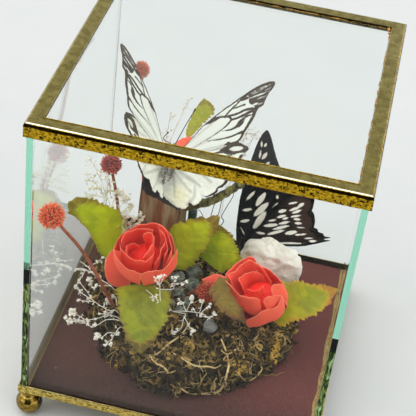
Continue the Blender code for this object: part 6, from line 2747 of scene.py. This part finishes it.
@dataclass(frozen=True)
class GlobeFlower:
    """A dried, spiky round head on a thin stem."""

    number: int
    centre: Point
    radius: float
    bend: Point
    foot: Flat
    finish: Finish
    bracts: int = 420
    planted: float = 0.8

    def build(self, height: Callable[[float, float], float]) -> None:
        """Makes the head and the stem in place of their nodes, planted on the mat.

        Args:
            height: gives the mat's height, in millimetres, at a place.
        """
        rng = random.Random(self.number)
        core = Shape("tint", "reach")
        places, shell = ball(4, self.radius * 0.74)
        core.add(np.array(places) + self.centre, shell, tint=0.2, reach=0.7)
        faces = [*ring_faces(2, 4), *((4 + k, 4 + (k + 1) % 4, 8) for k in range(4)), (3, 2, 1, 0)]
        for k in range(self.bracts):
            z = 1.0 - 2.0 * (k + 0.5) / self.bracts
            turn = k * GOLDEN_TURN
            flat = math.sqrt(1.0 - z * z)
            way = unit(stray(rng, *[(-0.08, 0.08)] * 3)
                       + (flat * math.cos(turn), flat * math.sin(turn), z))
            side = unit(np.cross(way, (0.3, 0.1, 0.9)))
            over = np.cross(way, side)
            reach = self.radius * rng.uniform(0.84, 1.16)
            root = np.array(self.centre) + way * self.radius * 0.6
            wide = self.radius * rng.uniform(0.06, 0.1)
            tip = np.array(self.centre) + way * reach + (side + over) * rng.uniform(-0.25, 0.25)
            spokes = np.array([side, over, -side, -over]) * wide
            core.add(np.vstack([root + spokes, root + (tip - root) * 0.62 + spokes * 0.8, tip]), faces,
                     tint=rng.random(), reach=np.array([0.66] * 4 + [0.86] * 4 + [1.0]))
        core.piece(f"globe_flower_{self.number}_head", self.finish, "globe_flower",
                   (f"globe_flower_{self.number}",))
        toward = unit(np.array(self.bend) - self.centre)
        neck = np.array(self.centre) + toward * self.radius * 0.9
        foot = (*self.foot, height(*self.foot) + self.planted)
        route = smooth_route([foot, self.bend, neck], 16)
        stem = Shape()
        stem.tube(route, np.linspace(0.84, 0.66, len(route)) + 0.07 * lumps(route, 0.7), 9)
        stem.piece(f"globe_stem_{self.number}_rod", Finish.RUST_STEM, "stem",
                   (f"globe_stem_{self.number}",))


def build_globe_flowers(foot: Callable[[float, float], float]) -> None:
    """Four dried round heads.

    Args:
        foot: gives the mat's height, in millimetres, at a place.
    """
    for head in (
        GlobeFlower(1, (-54.0, -54.0, 101.0), 5.2, (-44.6, -35.4, 68.6), (-34.6, -18.6),
                    Finish.GLOBE_ORANGE),
        GlobeFlower(2, (-48.1, 14.0, 79.5), 4.7, (-43.2, 12.2, 58.0), (-39.4, 10.0), Finish.GLOBE_MAUVE),
        GlobeFlower(3, (-44.6, 42.0, 110.0), 3.9, (-40.0, 40.0, 72.0), (-33.0, 28.0),
                    Finish.GLOBE_DUSTY),
        GlobeFlower(4, (3.9, -11.7, 42.6), 4.4, (-0.4, -8.4, 39.6), (-4.4, -7.0), Finish.GLOBE_RED),
    ):
        head.build(foot)


@dataclass(frozen=True)
class Branch:
    """One stem of a spray: its line, the size of the lump at its end, its thickness."""

    route: tuple[Point, ...]
    bud: float
    girth: float


def branches(rows: Sequence[tuple[float, Sequence[Point]]], girth: float = 0.34) -> tuple[Branch, ...]:
    """Branches from rows of an end lump's size and a line."""
    return tuple(Branch(tuple(route), bud, girth) for bud, route in rows)


LEFT_SPRAY = branches((
    (0.0, ((-36.8, -6.9, 26.8), (-39.3, -7.9, 30.3), (-43.8, -4.3, 28.9), (-49.6, 0.5, 27.2),
           (-53.6, 5.6, 26.2), (-58.3, 10.2, 24.2))),
    (0.9, ((-53.6, 5.6, 26.2), (-50.1, 7.9, 27.8), (-48.1, 10.8, 28.9))),
    (1.1, ((-51.1, 1.8, 26.7), (-53.8, 3.3, 25.9), (-58.2, 4.2, 24.0))),
    (0.9, ((-54.0, 4.1, 25.9), (-54.3, 0.3, 25.3), (-54.8, -3.5, 24.7))),
    (1.7, ((-36.6, -7.3, 26.8), (-39.1, -8.3, 30.3), (-43.8, -7.4, 28.6), (-47.8, -7.7, 27.0),
           (-49.6, -3.3, 26.7))),
    (1.0, ((-30.6, -22.3, 27.6), (-33.1, -23.3, 31.1), (-35.8, -23.3, 30.0), (-44.4, -16.6, 27.3),
           (-49.1, -10.5, 26.1), (-54.3, -4.3, 24.8))),
    (1.0, ((-44.8, -16.2, 27.2), (-48.9, -13.1, 25.9), (-52.6, -10.1, 24.8), (-55.0, -7.4, 24.1))),
    (1.0, ((-44.6, -16.9, 27.2), (-47.4, -16.6, 26.1), (-51.5, -15.4, 24.6))),
    (1.9, ((-33.1, -23.3, 31.1), (-35.3, -24.8, 30.0), (-38.6, -27.3, 28.4), (-44.1, -27.8, 26.1),
           (-47.7, -25.6, 24.9), (-52.0, -23.0, 23.5))),
    (1.4, ((-47.7, -25.6, 24.9), (-48.6, -28.6, 24.6), (-51.2, -29.2, 23.8))),
    (1.2, ((-26.4, -29.2, 28.6), (-28.9, -30.2, 32.1), (-35.0, -28.7, 29.7), (-39.8, -32.4, 27.3),
           (-43.3, -30.3, 26.1), (-47.1, -28.5, 24.8), (-54.0, -26.0, 22.3))),
    (0.8, ((-28.3, -26.8, 28.0), (-30.8, -27.8, 31.5), (-35.6, -25.8, 29.8), (-39.4, -24.7, 28.4))),
    (0.8, ((-25.1, -32.8, 28.7), (-27.6, -33.8, 32.2), (-29.2, -37.4, 31.1), (-29.9, -43.5, 30.1))),
    (1.6, ((-29.3, -37.1, 31.1), (-32.5, -36.7, 29.8), (-34.3, -38.9, 28.8), (-36.8, -38.3, 27.8))),
    (0.9, ((-29.5, -40.1, 30.7), (-30.6, -41.7, 30.0), (-31.7, -43.3, 29.4))),
    (1.3, ((-33.1, -20.4, 31.4), (-35.4, -15.0, 31.1), (-37.5, -18.1, 29.9))),
))
CENTRE_SPRAY = branches((
    (0.0, ((-5.6, -20.6, 31.0), (-3.2, -24.6, 35.0), (-2.2, -25.0, 39.4), (-7.5, -25.0, 39.5),
           (-13.1, -27.0, 44.9), (-16.6, -27.0, 47.6), (-19.8, -27.0, 50.0))),
    (1.5, ((-13.1, -27.0, 44.9), (-13.7, -27.0, 50.0), (-14.1, -27.0, 54.0), (-14.7, -27.0, 58.5))),
    (0.7, ((-14.0, -27.0, 53.5), (-17.0, -27.0, 57.8))),
    (0.6, ((-14.1, -27.0, 54.5), (-13.1, -27.0, 57.4))),
    (1.2, ((-13.1, -27.0, 44.9), (-16.2, -27.0, 43.2), (-19.6, -27.0, 42.2))),
    (1.1, ((-9.4, -26.0, 43.0), (-11.4, -27.0, 42.8), (-12.8, -27.0, 41.3))),
    (1.1, ((-7.5, -25.0, 39.5), (-2.4, -25.0, 41.0), (4.0, -25.0, 41.8), (8.0, -25.0, 40.1))),
    (0.7, ((-2.0, -25.0, 41.1), (-4.0, -25.0, 45.3), (-5.9, -25.0, 46.9))),
    (1.5, ((-2.0, -25.0, 41.1), (-0.8, -25.0, 45.7), (-0.5, -25.0, 49.0))),
    (0.7, ((2.0, -25.0, 41.8), (0.8, -25.0, 43.6))),
    (1.0, ((3.6, -25.0, 41.7), (4.1, -25.0, 45.1), (4.3, -25.0, 48.8))),
    (1.0, ((4.4, -25.0, 42.0), (6.1, -25.0, 45.1), (8.0, -25.0, 48.1))),
    (0.9, ((4.6, -25.0, 40.4), (8.1, -25.0, 40.9), (10.7, -25.0, 43.0))),
    (1.6, ((-2.6, -26.0, 39.3), (0.5, -28.4, 36.4), (2.6, -29.0, 34.8))),
    (1.2, ((-2.5, -26.0, 38.3), (-2.7, -29.4, 34.6), (-5.4, -30.6, 33.0))),
)) + branches((
    (0.3, ((-13.9, -27.0, 51.8), (-8.7, -25.6, 52.4), (-8.6, -25.2, 55.5), (-7.3, -25.0, 59.5))),
    (0.3, ((-8.6, -25.2, 54.9), (-6.2, -25.0, 55.7), (-3.2, -25.0, 58.3))),
), 0.26)
BACK_LEFT_SPRAY = branches((
    (0.6, ((-45.6, 4.4, 27.0), (-44.4, 4.0, 50.0), (-44.8, 4.0, 64.1), (-47.4, 4.0, 71.3),
           (-50.1, 4.0, 78.5), (-52.5, 4.0, 83.2), (-55.0, 4.0, 87.8))),
    (0.6, ((-44.9, 4.2, 57.0), (-47.4, 4.0, 63.6), (-48.3, 4.0, 70.3), (-52.1, 4.0, 75.3),
           (-56.2, 3.0, 76.9))),
    (0.5, ((-48.6, 4.0, 68.6), (-53.1, 4.0, 69.0), (-54.9, 4.0, 67.4))),
    (0.5, ((-45.2, 4.0, 71.0), (-46.1, 4.0, 79.5))),
    (0.5, ((-47.3, 4.0, 71.0), (-45.2, 4.0, 72.4), (-43.1, 4.0, 73.6))),
    (1.3, ((-44.6, 4.0, 62.0), (-42.5, 4.0, 70.7), (-37.0, 4.0, 71.6))),
    (1.4, ((-42.9, 4.0, 68.0), (-39.0, 5.0, 68.4), (-36.4, 5.0, 66.4))),
    (1.2, ((-41.4, 4.0, 40.0), (-39.6, 3.0, 54.0), (-36.5, 2.0, 63.3))),
    (1.3, ((-39.6, 3.0, 54.0), (-36.6, 2.0, 55.4), (-33.3, 2.0, 62.0))),
    (1.1, ((-35.0, 2.0, 58.6), (-32.4, 1.8, 57.8), (-31.4, 2.0, 60.3))),
    (1.0, ((-37.6, 2.4, 60.2), (-38.6, 2.2, 63.4), (-37.6, 2.0, 66.4))),
    (0.9, ((-34.2, 2.0, 60.4), (-33.0, 1.8, 63.0), (-30.9, 2.0, 66.0))),
))
BACK_SPRAY = branches((
    (0.4, ((-2.0, 38.0, 26.0), (-1.0, 46.0, 54.0), (-3.6, 52.0, 76.0), (-9.0, 55.4, 92.0))),
    (0.4, ((-1.0, 46.0, 54.0), (-1.4, 49.0, 76.0), (-1.6, 50.0, 92.0))),
    (0.5, ((-1.0, 46.0, 54.0), (3.2, 50.0, 65.1), (6.4, 52.0, 77.2), (9.2, 52.0, 84.6))),
    (0.4, ((-0.6, 47.0, 60.0), (3.0, 48.0, 76.0), (5.0, 48.0, 88.0))),
), 0.3)
TALL_SPRAY = branches((
    (0.5, ((-31.0, 36.0, 24.0), (-32.6, 44.0, 52.0), (-32.0, 50.0, 70.0), (-31.6, 53.0, 83.4))),
    (0.5, ((-32.3, 47.0, 61.0), (-28.0, 53.0, 78.0), (-24.6, 56.0, 90.0))),
), 0.3)
DARK_TWIGS = branches((
    (0.25, ((-2.4, 22.4, 27.0), (-3.6, 20.0, 50.0), (-2.6, 20.0, 59.8), (-1.4, 20.0, 69.1))),
    (0.25, ((-1.8, 21.0, 40.0), (0.5, 20.0, 60.3), (1.3, 20.0, 71.7))),
    (0.25, ((0.2, 20.6, 50.0), (3.2, 20.0, 57.0), (2.1, 20.0, 60.3), (5.7, 20.0, 71.8),
            (5.1, 20.0, 73.8))),
    (0.25, ((-2.8, 21.2, 42.0), (-6.1, 20.0, 57.0), (-8.6, 20.0, 60.7))),
), 0.42)


@dataclass(frozen=True)
class Spray:
    """A dried spray: forking stems with lumps of florets on the outer twigs."""

    name: str
    stems: tuple[Branch, ...]
    finish: Finish
    slot: str
    floret: float = 0.55
    florets: int = 7
    side: float = 2.2
    seed: int = 1
    clear: float = 1.2

    def kept(self, spot: np.ndarray) -> np.ndarray:
        """The spot, held inside the glass."""
        limit = GLASS_IN - self.clear
        return np.array([*np.clip(spot[:2], -limit, limit), spot[2]])

    def clump(self, shape: Shape, rng: random.Random, place: np.ndarray, size: float) -> None:
        """Adds a ragged lump made of several florets.

        Args:
            shape: where it goes.
            rng: draws it.
            place: its middle, in millimetres.
            size: about its radius, in millimetres.
        """
        count = max(2, int(7.0 * size))
        for _ in range(count):
            shift = np.array([rng.gauss(0.0, 0.38) for _ in range(3)]) * size
            shape.bud(self.kept(place + shift), size * rng.uniform(0.22, 0.5), rng)

    def dress(self, shape: Shape, rng: random.Random, branch: Branch, route: np.ndarray) -> None:
        """Adds side twigs and florets to the outer part of a branch.

        Args:
            shape: where they go.
            rng: draws them.
            branch: the branch as given.
            route: its smooth line.
        """
        length = float(np.linalg.norm(np.diff(route, axis=0), axis=1).sum())
        for _ in range(int(self.florets * min(1.5, length / 12.0))):
            spot = route[int(len(route) * rng.uniform(0.45, 0.98))]
            way = unit(stray(rng, *[(-1.0, 1.0)] * 3))
            reach = self.side * rng.uniform(0.25, 1.0)
            end = self.kept(spot + way * reach)
            bend = (spot + end) / 2.0 + (0.0, 0.0, 0.12 * reach)
            shape.tube([spot, bend, end], branch.girth * np.array((0.34, 0.28, 0.22)), 4)
            self.clump(shape, rng, end, self.floret * rng.uniform(0.7, 1.5))

    def build(self) -> None:
        """Makes the spray in place of its node."""
        shape = Shape()
        rng = random.Random(self.seed)
        for branch in self.stems:
            route = smooth_route(branch.route, 7)
            route[1:-1] += [stray(rng, *[(-0.06, 0.06)] * 3) for _ in route[1:-1]]
            route = np.array([self.kept(spot) for spot in route])
            thin = np.linspace(0.55, 0.36, len(route)) * branch.girth
            shape.tube(route, thin, 6)
            if self.florets:
                self.dress(shape, rng, branch, route)
            if branch.bud:
                self.clump(shape, rng, route[-1], branch.bud)
        shape.piece(f"{self.name}_twigs", self.finish, self.slot, (self.name,))


def build_sprays() -> None:
    """White, cream and dark sprays round the arrangement."""
    for spray in (
        Spray("white_spray_left", LEFT_SPRAY, Finish.WHITE_SPRAY, "white_spray", 0.7, 6, seed=3),
        Spray("white_spray_centre", CENTRE_SPRAY, Finish.WHITE_SPRAY, "white_spray", 0.7, 5, seed=8),
        Spray("cream_spray_back_left", BACK_LEFT_SPRAY, Finish.CREAM_SPRAY, "cream_spray", 0.6, 15, 4.4,
              5),
        Spray("cream_spray_back", BACK_SPRAY, Finish.CREAM_SPRAY, "cream_spray", 0.45, 13, 3.8, 6),
        Spray("cream_spray_tall", TALL_SPRAY, Finish.CREAM_SPRAY, "cream_spray", 0.45, 12, 3.8, 4),
        Spray("dark_twigs", DARK_TWIGS, Finish.DARK_TWIG, "dark_twig", 0.2, 0, seed=9),
    ):
        spray.build()


@dataclass
class Studio:
    """A pale sweep, an overcast room and one soft lamp."""

    floor_size: float = 12.0
    ambient: float = 1.5
    window: Point = (-0.45, -0.35, 0.82)
    window_gain: float = 0.9
    front_shade: float = 0.97
    rear_shade: float = 0.6
    tone: Colour = (1.0, 1.0, 0.985)
    key_power: float = 4.0
    key_size: float = 1.6
    key_place: Point = (0.3, -1.2, 3.2)
    key_aim: Point = (0.0, 0.0, 0.08)
    grey: Colour = rgb(198, 200, 200)
    cool_grey: Colour = rgb(195, 198, 198)
    bounces: int = 24
    glossy_bounces: int = 16

    def floor(self) -> None:
        """The plane under the case."""
        made = bpy.data.meshes.new("floor")
        half = self.floor_size / 2.0
        corners = [(x * half, y * half, 0.0) for x, y in ((-1, -1), (1, -1), (1, 1), (-1, 1))]
        made.from_pydata(corners, [], [(0, 1, 2, 3)])
        paint = Paint("floor")
        colour = paint.blend(paint.between(paint.grain(0.02), 0.3, 0.7), self.grey, self.cool_grey)
        made.materials.append(paint.finish(Base_Color=colour, Roughness=0.9))
        plane = bpy.data.objects.new("floor", made)
        bpy.context.scene.collection.objects.link(plane)

    def world(self) -> None:
        """A bright, even room: a lighter window front left, dark low in front."""
        world = bpy.data.worlds.new("room")
        bpy.context.scene.world = world
        world.use_nodes = True
        room = Wiring(world.node_tree)
        where = room.node("ShaderNodeTexCoord").outputs["Generated"]
        spot = room.parts(where)
        way = room.node("ShaderNodeVectorMath", {0: where, 1: tuple(unit(self.window))},
                        operation="DOT_PRODUCT").outputs["Value"]
        middle = room.between(room.sums("ABSOLUTE", spot["X"]), 0.55, 0.35)
        low = room.times(room.between(spot["Y"], -0.15, -0.45), room.between(spot["Z"], 0.86, 0.66))
        ahead = room.less(1.0, room.times(low, room.times(middle, self.front_shade)))
        rear = room.times(room.between(spot["Y"], 0.25, 0.6), room.between(spot["Z"], 0.3, 0.5))
        behind = room.less(1.0, room.times(rear, self.rear_shade))
        glow = room.times(room.between(way, 0.55, 1.0), self.window_gain)
        level = room.times(room.plus(glow, self.ambient), room.times(ahead, behind))
        sky = world.node_tree.nodes["Background"].inputs
        room.feed(sky["Strength"], level)
        room.feed(sky["Color"], self.tone)

    def lamp(self) -> None:
        """One soft area lamp, front left and above."""
        data = bpy.data.lights.new("key", "AREA")
        data.shape = "DISK"
        data.size = self.key_size
        data.energy = self.key_power
        made = bpy.data.objects.new("key", data)
        made.location = self.key_place
        aim = Vector(self.key_aim) - Vector(self.key_place)
        made.rotation_euler = aim.to_track_quat("-Z", "Y").to_euler()
        bpy.context.scene.collection.objects.link(made)

    def build(self) -> None:
        """Sets the stage; fewer bounces would show the glass edges black."""
        self.floor()
        self.world()
        self.lamp()
        bpy.context.scene.view_settings.view_transform = "Standard"
        paths = bpy.context.scene.cycles
        paths.blur_glossy = 0.0
        paths.max_bounces = self.bounces
        paths.glossy_bounces = self.glossy_bounces
        paths.transmission_bounces = self.bounces


def foot_finder(tree: BVHTree) -> Callable[[float, float], float]:
    """A function that gives the mat's height, in millimetres, at a place.

    Args:
        tree: the mat's search tree, in metres.

    Returns:
        The function.
    """

    def height(x: float, y: float) -> float:
        """The height there, the board's where there is no mat.

        Args:
            x, y: the place, in millimetres.

        Returns:
            The height, in millimetres.
        """
        start = Vector(in_world(np.array((x, y, 120.0))))
        hit = tree.ray_cast(start, Vector((0.0, 0.0, -1.0)))[0]
        return hit.z / MM - DATUM if hit is not None else BOARD_Z

    return height


def main() -> None:
    """Builds the finished model in the frame."""
    logging.basicConfig(level=logging.INFO, format="%(name)s %(message)s")
    VIEW.add_camera()
    Studio().build()
    Case().build()
    tree = MossMound().build()
    height = foot_finder(tree)
    build_stones()
    Driftwood().build(height)
    Butterflies().build()
    build_flowers(height)
    build_leaves()
    build_globe_flowers(height)
    build_sprays()


if __name__ == "__main__":
    main()
